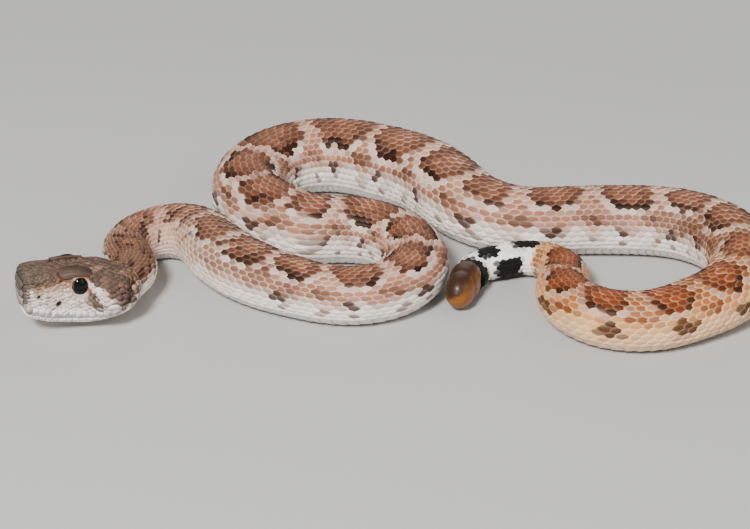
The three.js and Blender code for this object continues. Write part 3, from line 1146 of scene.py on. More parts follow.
def unwrap(piece: bpy.types.Object, places: Array) -> None:
    """Gives a piece its unwrap from one place per point.

    Args:
        piece: The mesh object.
        places: Two numbers per point, 0 to 1.
    """
    layer = piece.data.uv_layers.new(name="OFBake")
    index = np.zeros(len(piece.data.loops), np.int32)
    piece.data.loops.foreach_get("vertex_index", index)
    layer.data.foreach_set("uv", places.reshape(-1, 2)[index].astype(np.float32).ravel())


@dataclass(frozen=True)
class ScaleShape:
    """One scale: a keeled leaf that rises from its root to a free tip, walled down into the skin."""

    stations: tuple[float, ...] = (0.0, 0.16, 0.38, 0.62, 0.82, 0.94, 1.0)
    widths: tuple[float, ...] = (0.40, 0.80, 1.0, 0.90, 0.58, 0.28, 0.07)
    across: tuple[float, ...] = (-1.0, -0.82, -0.45, 0.0, 0.45, 0.82, 1.0)
    root: float = -0.02
    tip: float = 0.22
    keel: float = 0.12
    crown: float = 0.07
    sink: float = 0.14

    def template(self) -> tuple[Array, Array, Array, Array, Array, Faces]:
        """Builds the template that every scale of this shape repeats.

        Returns:
            Places along from 0 to 1 and across from -1 to 1, heights, shares of rim and keel, the
            faces of four corners, and the underside.
        """
        u = np.repeat(self.stations, len(self.across)).astype(float)
        v = np.tile(self.across, len(self.stations)).astype(float)
        wide = v * np.repeat(self.widths, len(self.across))
        ridge = bell(v, 0.3)
        height = self.root + (self.tip - self.root) * u**1.15
        height = height + self.keel * ridge * smooth(0.02, 0.3, u) * smooth(1.06, 0.8, u)
        height = height + self.crown * (1 - v * v) * np.sin(np.pi * np.clip(u, 0, 1)) ** 0.5
        ring, quads, under = sheet_faces(len(self.stations), len(self.across))
        low = np.zeros(len(ring))
        rim = np.maximum(smooth(0.6, 1.0, np.abs(v)), smooth(0.86, 1.0, u))
        mask = np.stack([np.concatenate([rim, low + 1]), np.concatenate([ridge, low])], -1)
        along = np.concatenate([u, u[ring] * 0.96 + 0.02])
        across = np.concatenate([wide, wide[ring] * 0.94])
        return along, across, np.concatenate([height, low - self.sink]), mask, quads, under


def rim_share(colour: Array) -> Array:
    """How light a scale's rim is beside its middle: strong on pale ground, faint on dark blotches."""
    mean = colour.mean(-1)
    return 0.20 * smooth(0.008, 0.03, mean) + 0.58 * smooth(0.06, 0.18, mean)


@dataclass
class Skin:
    """The one skin of the whole animal, from the tail's end to the snout."""

    body: BodyForm
    head: HeadForm
    markings: Markings
    sectors: int = 128
    step: float = 0.8
    depth: float = SKIN_DEPTH
    head_rings: int = 150
    first_ring: float = 0.4
    strips: int = 8

    def build(self) -> bpy.types.Object:
        """Builds the skin, its markings and its unwrap.

        Returns:
            The skin's object.
        """
        arc = np.arange(self.sectors) / self.sectors
        s = np.linspace(self.body.end, 0.0, round(self.body.end / self.step) + 1)
        ats = self.head.rings(self.head_rings)
        ats = ats[ats > self.first_ring]
        shares = np.array(DOME_SHARES)
        body, body_colour = self._body(s, arc)
        head, head_colour, up = self._head(ats, arc)
        points = np.concatenate([body, head, self.head.snout(head[-1], shares)])
        # Painted shade over the dome that closes the snout's front.
        front = blend(head_colour[-1:], Palette.SNOUT_FRONT_SHADE, 0.85 * smooth(2.0, 3.0, up[-1:]))
        colours = np.concatenate([body_colour, head_colour, np.repeat(front, len(shares), 0)])
        quads = ring_quads(len(points), self.sectors)
        piece = make_mesh("skin", points, quads, ring_ends(len(points), self.sectors))
        paint(piece, "Marking", colours)
        dome = self.body.end + self.head.length + 0.3 * (1 - shares)
        self._unwrap(piece, np.concatenate([self.body.end - s, self.body.end + ats, dome]), arc)
        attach(piece, ROOT)
        return piece

    def _body(self, s: Array, arc: Array) -> tuple[Array, Array]:
        """The rings behind the nape.

        Args:
            s: Distances behind the nape.
            arc: Arcs round the body.

        Returns:
            Points and their colours.
        """
        along, around = np.meshgrid(s, arc * 2 * np.pi, indexing="ij")
        return self.body.point(along, around, -self.depth), self.markings.body(along, around)

    def _head(self, ats: Array, arc: Array) -> tuple[Array, Array, Array]:
        """The rings of the head, its markings fading into the body's at the nape.

        Args:
            ats: Distances in front of the nape.
            arc: Arcs round the head.

        Returns:
            Points, their colours, and their heights in the head's frame.
        """
        at, around = np.meshgrid(ats, arc, indexing="ij")
        local = self.head.local(at, around)
        mouth = self.head.mouth.value(0, at)
        colour = self.markings.head(at, local[..., 1], local[..., 2], mouth)
        neck = self.markings.body(np.zeros_like(at), around * 2 * np.pi)
        fade = smooth(0.0, 3.0, at)[..., None]
        colour = neck * (1 - fade) + colour * fade
        return self.head.point(at, around, -self.depth), colour, local[..., 2]

    def _unwrap(self, piece: bpy.types.Object, run: Array, arc: Array) -> None:
        """Unwraps the skin in strips side by side, each a stretch of the animal.

        Args:
            piece: The skin's object.
            run: Distance of each ring from the tail's end.
            arc: Arcs round the animal.
        """
        share = run / (self.body.end + self.head.length + 0.4) * self.strips
        strip = np.minimum(share.astype(int), self.strips - 1)
        across = (arc[None] + strip[:, None]) / self.strips
        length = np.broadcast_to((share - strip)[:, None], across.shape)
        unwrap(piece, np.stack([length, across], -1))


@dataclass(frozen=True)
class Length:
    """One length of the body's coat, from start to stop behind the nape, and its rows of scales."""

    name: str
    start: float
    stop: float
    rows: int = 25

    def share(self, s: Array) -> Array:
        """Share of the way along this length's unwrap, which has room at both ends."""
        low, high = self.start - 2, self.stop + 3
        return (s - low) / (high - low)


@dataclass
class BodyScales:
    """Rows of keeled scales over the back and flanks, one piece per length of the body."""

    body: BodyForm
    markings: Markings
    depth: float = SKIN_DEPTH
    edge_angle: float = 119.0
    wrap_angle: float = 125.0
    pitch_at: tuple[float, float] = (7.4, 1.78)
    overlap: float = 1.62
    breadth: float = 0.80
    shape: ScaleShape = field(default_factory=ScaleShape)

    def columns(self) -> Array:
        """The scales' roots in one row.

        Returns:
            Distances behind the nape.
        """
        s, found = 0.2, []
        while s < self.body.end - 1.2:
            found.append(s)
            s += self.pitch_at[1] * math.sqrt(float(self.body.half(np.array(s))) / self.pitch_at[0])
        return np.array(found)

    def build(self, length: Length) -> bpy.types.Object:
        """Builds the scales of one length of the body.

        Args:
            length: The length to cover.

        Returns:
            The piece.
        """
        u, v, height, mask, quads, unders = self.shape.template()
        root, step, angle = self._places(length)
        count, row_wide = len(root), 2 * self.edge_angle / length.rows
        draw = np.random.default_rng(int(length.start * 10) + 1)
        root = root + draw.normal(0, 0.03, count)
        angle = angle + draw.normal(0, 0.006, count)
        bent = np.sqrt(np.clip(self.body.stretch(root, angle), 0.5, 2.0))
        span = step * self.overlap / bent * draw.uniform(0.96, 1.04, count)
        wide = math.radians(row_wide) * self.breadth * draw.uniform(0.95, 1.03, count)
        size = np.clip(step / 1.6, 0.6, 1.1)
        s = root[:, None] + span[:, None] * u
        theta = angle[:, None] + wide[:, None] * v
        rise = height * size[:, None] * draw.uniform(0.88, 1.1, count)[:, None]
        points = self.body.point(s, theta, rise - self.depth)
        faces, fans = gather(count, len(u), quads, unders)
        piece = make_mesh(f"scales_{length.name}", points, faces, fans)
        tone = self.markings.body(root + span * 0.45, angle) * draw.normal(1, 0.07, (count, 1))
        light = np.repeat(rim_share(tone)[:, None], len(u), 1)
        paint(piece, "Marking", np.repeat(tone[:, None], len(u), 1))
        paint(piece, "Fine", np.concatenate([np.repeat(mask[None], count, 0), light[..., None]], -1))
        paint(piece, "Edge", np.repeat(self.markings.rim(root)[:, None], len(u), 1))
        along = root[:, None] + step[:, None] * (0.06 + 0.88 * np.clip(u, 0, 1)) * 0.5
        across = np.degrees(angle)[:, None] + row_wide * 0.42 * np.clip(v, -1, 1)
        half = self.wrap_angle
        places = np.stack([length.share(along), (across + half) / (2 * half)], -1)
        unwrap(piece, np.clip(places, 0, 1))
        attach(piece, ROOT)
        return piece

    def _places(self, length: Length) -> tuple[Array, Array, Array]:
        """Where the scales of one length stand, each row half a step behind its neighbours.

        Args:
            length: The length to cover.

        Returns:
            Distances behind the nape, steps to the next scale, and angles from the spine.
        """
        columns = self.columns()
        pitch = np.gradient(columns)
        roots, angles, steps = [], [], []
        for row in range(length.rows):
            spots = columns + 0.5 * (row % 2) * pitch
            keep = (spots >= length.start) & (spots < length.stop)
            keep = keep & (spots < self.body.end - 1.6)
            spread = 2 * (row + 0.5) / length.rows - 1
            roots.append(spots[keep])
            steps.append(pitch[keep])
            angles.append(np.full(keep.sum(), math.radians(self.edge_angle) * spread))
        return np.concatenate(roots), np.concatenate(steps), np.concatenate(angles)


@dataclass
class BellyScutes:
    """The single row of broad scutes under the body."""

    body: BodyForm
    markings: Markings
    depth: float = SKIN_DEPTH
    reach: float = 70.0
    pitch: float = 1.78
    across: int = 15
    stations: tuple[float, ...] = (0.0, 0.3, 0.7, 1.0)

    def build(self, length: Length) -> bpy.types.Object:
        """Builds the scutes of one length of the body.

        Args:
            length: The length to cover.

        Returns:
            The piece.
        """
        count = max(2, round((length.stop - length.start) / self.pitch))
        step = (length.stop - length.start) / count
        roots = length.start + step * np.arange(count)
        roots = roots[roots < self.body.end - 2.2]
        ring, quads, unders = sheet_faces(len(self.stations), self.across)
        u = np.repeat(self.stations, self.across)
        w = np.tile(np.linspace(-1, 1, self.across), len(self.stations))
        height = np.concatenate([-0.02 + 0.19 * u, np.full(len(ring), -0.12)])
        u, w = np.concatenate([u, u[ring]]), np.concatenate([w, w[ring] * 0.98])
        lag = 0.35 * np.abs(w) ** 2
        s = roots[:, None] + step * 1.16 * u - lag * 0.6
        theta = np.pi + math.radians(self.reach) * w * np.ones_like(roots)[:, None]
        points = self.body.point(s, theta, height - self.depth)
        faces, fans = gather(len(roots), len(u), quads, unders)
        piece = make_mesh(f"scutes_{length.name}", points, faces, fans)
        colour = self.markings.body(s, theta)
        # Painted shade: each scute is darkened towards its free tip, where it overlaps the next.
        paint(piece, "Marking", colour * (1 - 0.22 * smooth(0.75, 1.0, u))[None, :, None])
        fine = np.stack([smooth(0.7, 1.0, u), np.zeros_like(u), np.full_like(u, 0.5)], -1)
        paint(piece, "Fine", np.repeat(fine[None], len(roots), 0))
        cell = roots[:, None] + step * (0.04 + 0.92 * u)
        places = np.stack([length.share(cell), (w * 0.5 + 0.5) * np.ones_like(cell)], -1)
        unwrap(piece, np.clip(places, 0, 1))
        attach(piece, ROOT)
        return piece


@dataclass
class Plates:
    """A growing list of scales for the head, each by its root, its directions and its size."""

    ways: list[Array] = field(default_factory=list)
    roots: list[Array] = field(default_factory=list)
    ahead: list[Array] = field(default_factory=list)
    sizes: list[tuple[float, float]] = field(default_factory=list)
    places: list[tuple[float, float, float]] = field(default_factory=list)
    arcs: list[float] = field(default_factory=list)


@dataclass
class HeadScales:
    """The head's small scales, its lip plates, and the large plates over the eyes."""

    head: HeadForm
    markings: Markings
    depth: float = SKIN_DEPTH
    small: ScaleShape = field(
        default_factory=lambda: ScaleShape(root=-0.05, tip=0.10, keel=0.025, crown=0.015, sink=0.3)
    )
    plate: ScaleShape = field(
        default_factory=lambda: ScaleShape(
            stations=(0.0, 0.08, 0.25, 0.5, 0.75, 0.92, 1.0),
            widths=(0.84, 0.95, 1.0, 1.0, 1.0, 0.95, 0.84),
            root=0.01,
            tip=0.015,
            keel=0.0,
            crown=0.022,
            sink=0.3,
        )
    )
    brow: ScaleShape = field(
        default_factory=lambda: ScaleShape(
            stations=(0.0, 0.03, 0.08, 0.14, 0.22, 0.30, 0.38, 0.46)
            + (0.55, 0.64, 0.72, 0.80, 0.87, 0.93, 0.97, 1.0),
            widths=(0.22, 0.48, 0.68, 0.82, 0.92, 0.98, 1.0, 1.0)
            + (1.0, 0.97, 0.93, 0.85, 0.74, 0.6, 0.44, 0.22),
            across=(-1.0, -0.92, -0.8, -0.65, -0.5, -0.35, -0.18, 0.0)
            + (0.18, 0.35, 0.5, 0.65, 0.8, 0.92, 1.0),
            root=0.07,
            tip=0.08,
            keel=0.0,
            crown=0.09,
            sink=0.4,
        )
    )
    wrap_girth: float = 40.0
    front: tuple[tuple[float, float, float, float, float], ...] = (
        (0.0, 3.0, 1.9, 0.85, 0.0),
        (1.35, 3.3, 1.5, 0.5, -0.35),
        (0.55, 4.75, 1.15, 0.5, -0.25),
        (1.6, 4.9, 1.2, 0.5, -0.5),
        (0.0, 5.75, 1.1, 0.5, 0.0),
        (1.05, 5.85, 1.15, 0.5, -0.4),
        (0.52, 6.75, 1.15, 0.5, -0.2),
        (1.55, 6.6, 1.15, 0.5, -0.5),
    )

    def __post_init__(self) -> None:
        """Prepares the surface that scales are laid on, with the rings and sectors of the skin."""
        arc = np.arange(Skin.sectors) / Skin.sectors
        ats, arcs = np.meshgrid(self.head.rings(Skin.head_rings), arc, indexing="ij")
        head = self.head.point(ats, arcs, -self.depth)
        points = np.concatenate([head, self.head.snout(head[-1], np.array(DOME_SHARES))])
        quads = ring_quads(len(points), Skin.sectors)
        self.tree = BVHTree.FromPolygons(points.reshape(-1, 3).tolist(), quads.tolist())

    def _drop(self, points: Array, ways: Array) -> tuple[Array, Array]:
        """Drops points on the surface, each from outside it.

        Args:
            points: The points to drop.
            ways: How far outwards they start.

        Returns:
            Their places on the surface, and the outward normals there.
        """
        found = []
        ways = np.broadcast_to(ways, points.shape)
        for point, way in zip(points.reshape(-1, 3), ways.reshape(-1, 3)):
            far = 2 * float(np.linalg.norm(way)) + 0.6
            hit = self.tree.ray_cast((point + way).tolist(), (-way).tolist(), far)
            found.append(self.tree.find_nearest(point.tolist()) if hit[0] is None else hit)
        spots = np.array([f[0][:] for f in found]).reshape(points.shape)
        normals = np.array([f[1][:] for f in found]).reshape(points.shape)
        return spots, normals

    def _add(self, plates: Plates, at: float, arc: float, turn: float, length: float, half: float) -> None:
        """Adds a scale whose middle is at a distance forward and an arc.

        Args:
            plates: The list.
            at: Distance in front of the nape.
            arc: Arc round the head.
            turn: Direction of its tip in radians, 0 straight back and a quarter turn towards a larger arc.
            length: Its length.
            half: Half its width.
        """
        ats, arcs = np.array([at, at - 0.2, at]), np.array([arc, arc, arc + 0.004])
        spot, back, around = self.head.point(ats, arcs, -self.depth)
        back, around = unit(back - spot), unit(around - spot)
        tip = math.cos(turn) * back + math.sin(turn) * around
        plates.ways.append(unit(np.cross(around, back)))
        plates.roots.append(spot - tip * length * 0.5)
        plates.ahead.append(tip)
        plates.sizes.append((length, half))
        plates.places.append(tuple(self.head.local(np.array([at]), np.array([arc]))[0]))
        plates.arcs.append(arc % 1.0)

    def _lay(
        self, name: str, shape: ScaleShape, plates: Plates, seed: int, tone: float
    ) -> bpy.types.Object:
        """Lays a list of scales on the surface.

        Args:
            name: The piece's name.
            shape: The scale's shape.
            plates: The list.
            seed: Seed of the draw for tones.
            tone: Spread of the tones.

        Returns:
            The piece.
        """
        u, v, height, mask, quads, unders = shape.template()
        draw = np.random.default_rng(seed)
        roots, ahead = np.array(plates.roots), unit(np.array(plates.ahead))
        sizes, places = np.array(plates.sizes), np.array(plates.places)
        normals = unit(np.array(plates.ways))
        across = unit(np.cross(normals, ahead))
        run, wide = sizes[:, :1] * u, sizes[:, 1:] * v
        flat = roots[:, None] + ahead[:, None] * run[..., None] + across[:, None] * wide[..., None]
        spots, up = self._drop(flat, normals[:, None] * (0.35 + 0.45 * sizes[:, :1, None]))
        rise = height * np.clip(sizes[:, :1], 0.7, 1.15) * draw.uniform(0.85, 1.15, (len(roots), 1))
        points = spots + up * rise[..., None]
        points[..., 2] = np.maximum(points[..., 2], 0.05)
        faces, fans = gather(len(roots), len(u), quads, unders)
        piece = make_mesh(name, points, faces, fans)
        mouth = self.head.mouth.value(0, places[:, 0])
        colour = self.markings.head(places[:, 0], places[:, 1], places[:, 2], mouth)
        neck = self.markings.body(np.zeros(len(roots)), np.array(plates.arcs) * 2 * np.pi)
        fade = smooth(0.0, 2.2, places[:, 0])[:, None]
        colour = (neck * (1 - fade) + colour * fade) * draw.normal(1, tone, (len(roots), 1))
        paint(piece, "Marking", np.repeat(colour[:, None], len(u), 1))
        shares = np.repeat(mask[None], len(roots), 0)
        light = np.repeat(rim_share(colour)[:, None], len(u), 1)
        paint(piece, "Fine", np.concatenate([shares, light[..., None]], -1))
        paint(piece, "Edge", tint(Palette.RIM, (len(roots), len(u))))
        along = places[:, :1] - (u - 0.5) * sizes[:, :1] * 0.55 + 2
        across = np.array(plates.arcs)[:, None] + v * sizes[:, 1:] * 0.8 / self.wrap_girth + 0.05
        unwrap(piece, np.clip(np.stack([along / 24, across / 1.1], -1), 0, 1))
        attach(piece, ROOT)
        return piece

    def _girth(self, at: float) -> float:
        """Length round the head at a distance in front of the nape."""
        ring = self.head.local(np.full(181, at), np.linspace(0, 0.9999, 181))
        return float(np.linalg.norm(np.diff(ring[:, 1:], axis=0), axis=-1).sum())

    def _open(self, at: float, arc: float) -> bool:
        """Whether a small scale may stand clear of the eye, the openings, the lips and the brow.

        Args:
            at: Distance in front of the nape.
            arc: Arc round the head.

        Returns:
            Whether the place is free.
        """
        forward, side, up = self.head.local(np.array([at]), np.array([arc]))[0]
        flank = abs(side)
        for (hole_at, _, hole_up), tall, reach in (
            (self.head.eye, self.head.eye_tall, 2.62),
            (self.head.pit, 1.0, 1.16),
            (self.head.nostril, 0.9, 0.72),
        ):
            away = math.hypot(forward - hole_at, (up - hole_up) / tall)
            if away < reach and flank > 2.6 and up < 8.3:
                return False
        if up > 7.6 and math.hypot((forward - 9.9) / 3.35, (flank - 2.75) / 1.45) < 1:
            return False
        lip = float(self.head.mouth.value(0, np.array(forward)))
        return not (3.6 < forward < 18.9 and lip - 1.2 < up < lip + 1.55 and flank > 2.2)

    def build(self) -> list[bpy.types.Object]:
        """Builds the head's scales and plates.

        Returns:
            The pieces.
        """
        small, plates, brows = Plates(), Plates(), Plates()
        self._small_rows(small)
        for side in Side:
            self._lips(plates, side)
            self._eye_ring(plates, side)
            self._add(brows, 9.9, side.arc(self._arc_of(9.9, 2.95, 8.9)), 0.0, 5.9, 1.12)
        self._snout_front(plates)
        return [
            self._lay("head_scales", self.small, small, 21, 0.13),
            self._lay("head_plates", self.plate, plates, 31, 0.04),
            self._lay("brow_plates", self.brow, brows, 41, 0.0),
        ]

    def _small_rows(self, small: Plates) -> None:
        """Adds rows of small scales from the snout back over the nape.

        Args:
            small: The list.
        """
        draw = np.random.default_rng(77)
        at, row = 18.75, 0
        while at > -0.2:
            pitch = 0.64 + 0.34 * float(smooth(13, 3, np.array(at)))
            count = 2 * round(self._girth(max(at, 0.1)) / pitch / 2)
            for k in range(count):
                arc = ((k + 0.5 * (row % 2) + draw.normal(0, 0.05)) / count) % 1.0
                here = at + draw.normal(0, 0.04)
                if self._open(here, arc):
                    self._add(small, here, arc, draw.normal(0, 0.06), pitch * 1.44, pitch * 0.53)
            at -= pitch * 0.60
            row += 1

    def _arc_of(self, at: float, side: float, up: float) -> float:
        """Finds the arc of a place on the left flank.

        Args:
            at: Distance in front of the nape.
            side: Distance to the left.
            up: Height in the head's frame.

        Returns:
            The arc of the nearest place.
        """
        arcs = np.linspace(0, 0.5, 400)
        ring = self.head.local(np.full_like(arcs, at), arcs)
        return float(arcs[np.argmin(np.hypot(ring[:, 1] - side, ring[:, 2] - up))])

    def _lips(self, plates: Plates, side: Side) -> None:
        """Adds the plates along the upper and lower lip of one side.

        Args:
            plates: The list.
            side: Which side.
        """
        for height, offset, width in ((1.36, 0.97, 1.06), (0.86, -0.72, 1.16)):
            at = 18.6
            while at > 4.0:
                pitch = width + 0.22 * float(smooth(12, 5, np.array(at)))
                line = float(self.head.mouth.value(0, np.array(at)))
                arc = self.head.arc_at_height(at, line + offset, side)
                turn = math.copysign(math.pi / 2, -side.value * offset)
                self._add(plates, at, arc, turn, height, pitch * 0.53)
                at -= pitch

    def _eye_ring(self, plates: Plates, side: Side) -> None:
        """Adds the small plates in front of, under and behind one eye.

        Args:
            plates: The list.
            side: Which side.
        """
        eye_at, _, eye_up = self.head.eye
        for turn in np.linspace(math.radians(-48), math.radians(228), 15):
            at = eye_at - 2.16 * math.cos(turn)
            up = eye_up - 2.16 * self.head.eye_tall * math.sin(turn)
            if up <= 7.5:
                arc = self.head.arc_at_height(at, up, side)
                self._add(plates, at, arc, side.value * turn, 0.80, 0.42)

    def _snout_front(self, plates: Plates) -> None:
        """Adds the plates on the blunt front of the snout, round the upright one over the lip.

        Args:
            plates: The list.
        """
        count = 200
        ats, arcs = np.full(count, self.head.length - 0.01), np.linspace(0, 0.995, count)
        ring = self.head.local(ats, arcs)
        left = np.array([-math.sin(self.head.heading), math.cos(self.head.heading), 0])
        rows = [(sign, row) for row in self.front for sign in ((-1, 1) if row[0] else (1,))]
        for sign, (flank, up, length, half, slant) in rows:
            side, lean = sign * flank, sign * slant
            spot = self.head.place(np.array(self.head.length), np.array(side), np.array(up))
            tip = np.array([0, 0, math.cos(lean)]) - left * math.sin(lean)
            near = int(np.argmin(np.hypot(ring[:, 1] - side * 1.6, ring[:, 2] - up)))
            plates.ways.append(unit(np.cross(left, np.array([0, 0, 1.0]))))
            plates.roots.append(spot - tip * length / 2)
            plates.ahead.append(tip)
            plates.sizes.append((length, half))
            plates.places.append((self.head.length, side, up))
            plates.arcs.append(near / count)


@dataclass
class Eye:
    """One eye under its clear scale."""

    head: HeadForm
    side: Side
    inset: float = 0.02

    def build(self) -> bpy.types.Object:
        """Builds the eye with its pupil and iris as painted rings, and its inner half painted near-black
        as shade in the socket.

        Returns:
            The eye.
        """
        eye_at, eye_side, eye_up = self.head.eye
        polar = np.linspace(0, np.pi, 65)
        turn = np.linspace(0, 2 * np.pi, 64, endpoint=False)
        p, t = np.meshgrid(polar, turn, indexing="ij")
        radius = self.head.eye_radius - self.inset
        at = eye_at + radius * np.sin(p) * np.cos(t)
        flank = eye_side + radius * np.cos(p)
        up = eye_up + radius * self.head.eye_tall * np.sin(p) * np.sin(t)
        points = self.head.place(at, self.side.value * flank, up)
        order = [1, 2, 3, 0] if self.side is Side.LEFT else [0, 3, 2, 1]
        quads = ring_quads(*p.shape)[:, order]
        piece = make_mesh(f"eye_{self.side.name.lower()}_ball", points, quads)
        forward, high = np.sin(p) * np.cos(t), np.sin(p) * np.sin(t)
        away = np.hypot(forward / 0.80, high / 0.93)
        veins = 1 + 0.22 * np.sin(t * 23 + 2 * np.sin(t * 3))
        colour = tint(Palette.IRIS, p.shape) * veins[..., None]
        colour = blend(colour, Palette.PUPIL, smooth(1.03, 0.97, away))
        colour = blend(colour, Palette.EYE_EDGE, smooth(1.34, 1.5, away))
        # Painted shade: the inner half of the ball, sunk in the socket, is painted near-black.
        colour = np.where((p > np.pi / 2)[..., None], 0.01, colour)
        paint(piece, "Marking", colour)
        disc = 0.5 * p / np.pi
        unwrap(piece, np.stack([0.5 + disc * np.cos(t), 0.5 + disc * np.sin(t)], -1))
        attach(piece, ROOT)
        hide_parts(f"eye_{self.side.name.lower()}")
        return piece


@dataclass
class Button:
    """The rattle's single button of horn, two lobes deeper than they are wide, with painted shade over its
    top, one flank and its waist.
    """

    body: BodyForm
    length: float = 9.4
    gap: float = 0.15
    inset: float = 0.05
    centre: float = 3.7
    form: Table = field(
        default_factory=lambda: Table(
            (
                (0, 2.3, 2.7),
                (0.8, 2.8, 3.4),
                (2.2, 3.0, 3.7),
                (3.9, 2.9, 3.6),
                (4.7, 2.65, 3.35),
                (5.8, 2.75, 3.4),
                (7.4, 2.5, 3.0),
                (8.7, 1.75, 2.05),
                (9.4, 0.7, 0.8),
            )
        )
    )

    def build(self) -> bpy.types.Object:
        """Builds the button.

        Returns:
            The button.
        """
        x, y, heading, _ = (float(c) for c in self.body.line.at(np.array(self.body.end)))
        at = self.length * np.concatenate([np.linspace(0, 0.95, 60), [0.97, 0.985, 1.0]])
        turn = np.linspace(0, 2 * np.pi, 64, endpoint=False)
        a, t = np.meshgrid(at, turn, indexing="ij")
        waist = 1 - 0.1 * bell(np.sin(t), 0.35)
        side = (self.form.value(0, a) - self.inset) * np.cos(t) * waist
        up = (self.form.value(1, a) - self.inset) * np.sin(t)
        along = a + self.gap
        ahead, left = math.cos(heading), math.sin(heading)
        place_x, place_y = x + along * ahead - side * left, y + along * left + side * ahead
        points = np.stack([place_x, place_y, self.centre + up], -1)
        piece = make_mesh("button_horn", points, ring_quads(*a.shape), ring_ends(*a.shape))
        colour = tint(Palette.AMBER, a.shape)
        # Painted shade: the top of the horn and one flank are painted darker, the underside left in plain
        # amber.
        painted_shade_side = np.sin(t) - 0.45 * np.cos(t)
        colour = blend(colour, Palette.AMBER_PAINTED_SHADE, smooth(-0.35, 0.75, painted_shade_side))
        colour = blend(colour, Palette.HORN_ROOT, smooth(1.3, 0.3, a))
        # Painted shade in the groove of the waist between the two lobes.
        colour = blend(colour, Palette.AMBER_WAIST_SHADE, 0.5 * bell(a - 4.6, 0.4))
        paint(piece, "Marking", colour)
        unwrap(piece, np.stack([a / self.length, t / 2 / np.pi], -1))
        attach(piece, ROOT)
        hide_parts("rattle_button")
        return piece


@dataclass(frozen=True)
class Wiring:
    """A shader tree, with short ways to add the nodes that the finishes share."""

    tree: bpy.types.NodeTree

    def feed(self, socket: Socket, value: Socket | float | tuple[float, ...]) -> None:
        """Links a value to an input, or sets the input where the value is a fixed one.

        Args:
            socket: The input.
            value: An output of another node, or a fixed value.
        """
        if isinstance(value, bpy.types.NodeSocket):
            self.tree.links.new(value, socket)
        else:
            socket.default_value = value

    def painted(self, name: str) -> Socket:
        """Adds a node that reads a painted colour.

        Args:
            name: The name that the colour is stored under.

        Returns:
            The colour.
        """
        node = self.tree.nodes.new("ShaderNodeAttribute")
        node.attribute_type = "GEOMETRY"
        node.attribute_name = name
        return node.outputs["Color"]

    def noise(self, scale: float, detail: float) -> Socket:
        """Adds noise that is fixed to the object.

        Args:
            scale: How fine it is.
            detail: How many finer layers it has.

        Returns:
            The noise, about 0 to 1.
        """
        place = self.tree.nodes.new("ShaderNodeTexCoord")
        node = self.tree.nodes.new("ShaderNodeTexNoise")
        self.feed(node.inputs["Vector"], place.outputs["Object"])
        self.feed(node.inputs["Scale"], scale)
        self.feed(node.inputs["Detail"], detail)
        return node.outputs["Fac"]

    def remap(self, value: Socket, source: tuple[float, float], target: tuple[float, float]) -> Socket:
        """Adds a node that carries one range over to another.

        Args:
            value: The value to carry over.
            source: The range that it is read in.
            target: The range that it is given in.

        Returns:
            The new value.
        """
        node = self.tree.nodes.new("ShaderNodeMapRange")
        names = ("Value", "From Min", "From Max", "To Min", "To Max")
        for name, number in zip(names, (value, *source, *target)):
            self.feed(node.inputs[name], number)
        return node.outputs["Result"]

    def calculate(self, operation: str, *values: Socket | float) -> Socket:
        """Adds a node that calculates.

        Args:
            operation: What it does.
            values: The values that it works with.

        Returns:
            The result.
        """
        node = self.tree.nodes.new("ShaderNodeMath")
        node.operation = operation
        for socket, value in zip(node.inputs, values):
            self.feed(socket, value)
        return node.outputs[0]

    def mix(self, kind: str, share: Socket, under: Socket, over: Socket | tuple[float, ...]) -> Socket:
        """Adds a node that lays one colour over another.

        Args:
            kind: How the colours are mixed.
            share: How much of the upper colour shows.
            under: The lower colour.
            over: The upper colour.

        Returns:
            The colour.
        """
        node = self.tree.nodes.new("ShaderNodeMix")
        node.data_type = "RGBA"
        node.blend_type = kind
        for place, value in ((MIX_SHARE, share), (MIX_UNDER, under), (MIX_OVER, over)):
            self.feed(node.inputs[place], value)
        return node.outputs[MIX_COLOUR]


def scale_grain() -> bpy.types.NodeTree:
    """Makes the group that turns a scale's marking into its light rim, fine speckle and relief.

    Returns:
        The node group.
    """
    group = bpy.data.node_groups.new("Scale Grain", "ShaderNodeTree")
    for name, way, kind, value in (
        ("Marking", "INPUT", "Color", (0.5, 0.5, 0.5, 1)),
        ("Edge", "INPUT", "Color", (0.9, 0.8, 0.7, 1)),
        ("Rim", "INPUT", "Float", 0.0),
        ("Keel", "INPUT", "Float", 0.0),
        ("Rim Share", "INPUT", "Float", 0.5),
        ("Rim Light", "INPUT", "Float", 0.5),
        ("Speckle", "INPUT", "Float", 0.5),
        ("Colour", "OUTPUT", "Color", None),
        ("Roughness", "OUTPUT", "Float", None),
        ("Height", "OUTPUT", "Float", None),
    ):
        socket = group.interface.new_socket(name=name, in_out=way, socket_type=f"NodeSocket{kind}")
        if value is not None:
            socket.default_value = value
    wiring = Wiring(group)
    source = group.nodes.new("NodeGroupInput").outputs
    sink = group.nodes.new("NodeGroupOutput").inputs
    grain = wiring.noise(14000, 2)
    dots = wiring.remap(wiring.noise(5200, 3), (0.56, 0.68), (0, 1))
    speckle = wiring.calculate("MULTIPLY", dots, source["Speckle"])
    rim = wiring.calculate("MULTIPLY", source["Rim"], source["Rim Light"])
    share = wiring.calculate("MULTIPLY", rim, source["Rim Share"])
    light = wiring.mix("MIX", share, source["Marking"], source["Edge"])
    wiring.feed(sink["Colour"], wiring.mix("MULTIPLY", speckle, light, (0.42, 0.32, 0.28, 1)))
    wiring.feed(sink["Roughness"], wiring.remap(grain, (0, 1), (0.38, 0.62)))
    wiring.feed(sink["Height"], wiring.calculate("MULTIPLY_ADD", grain, 0.6, source["Keel"]))
    return group


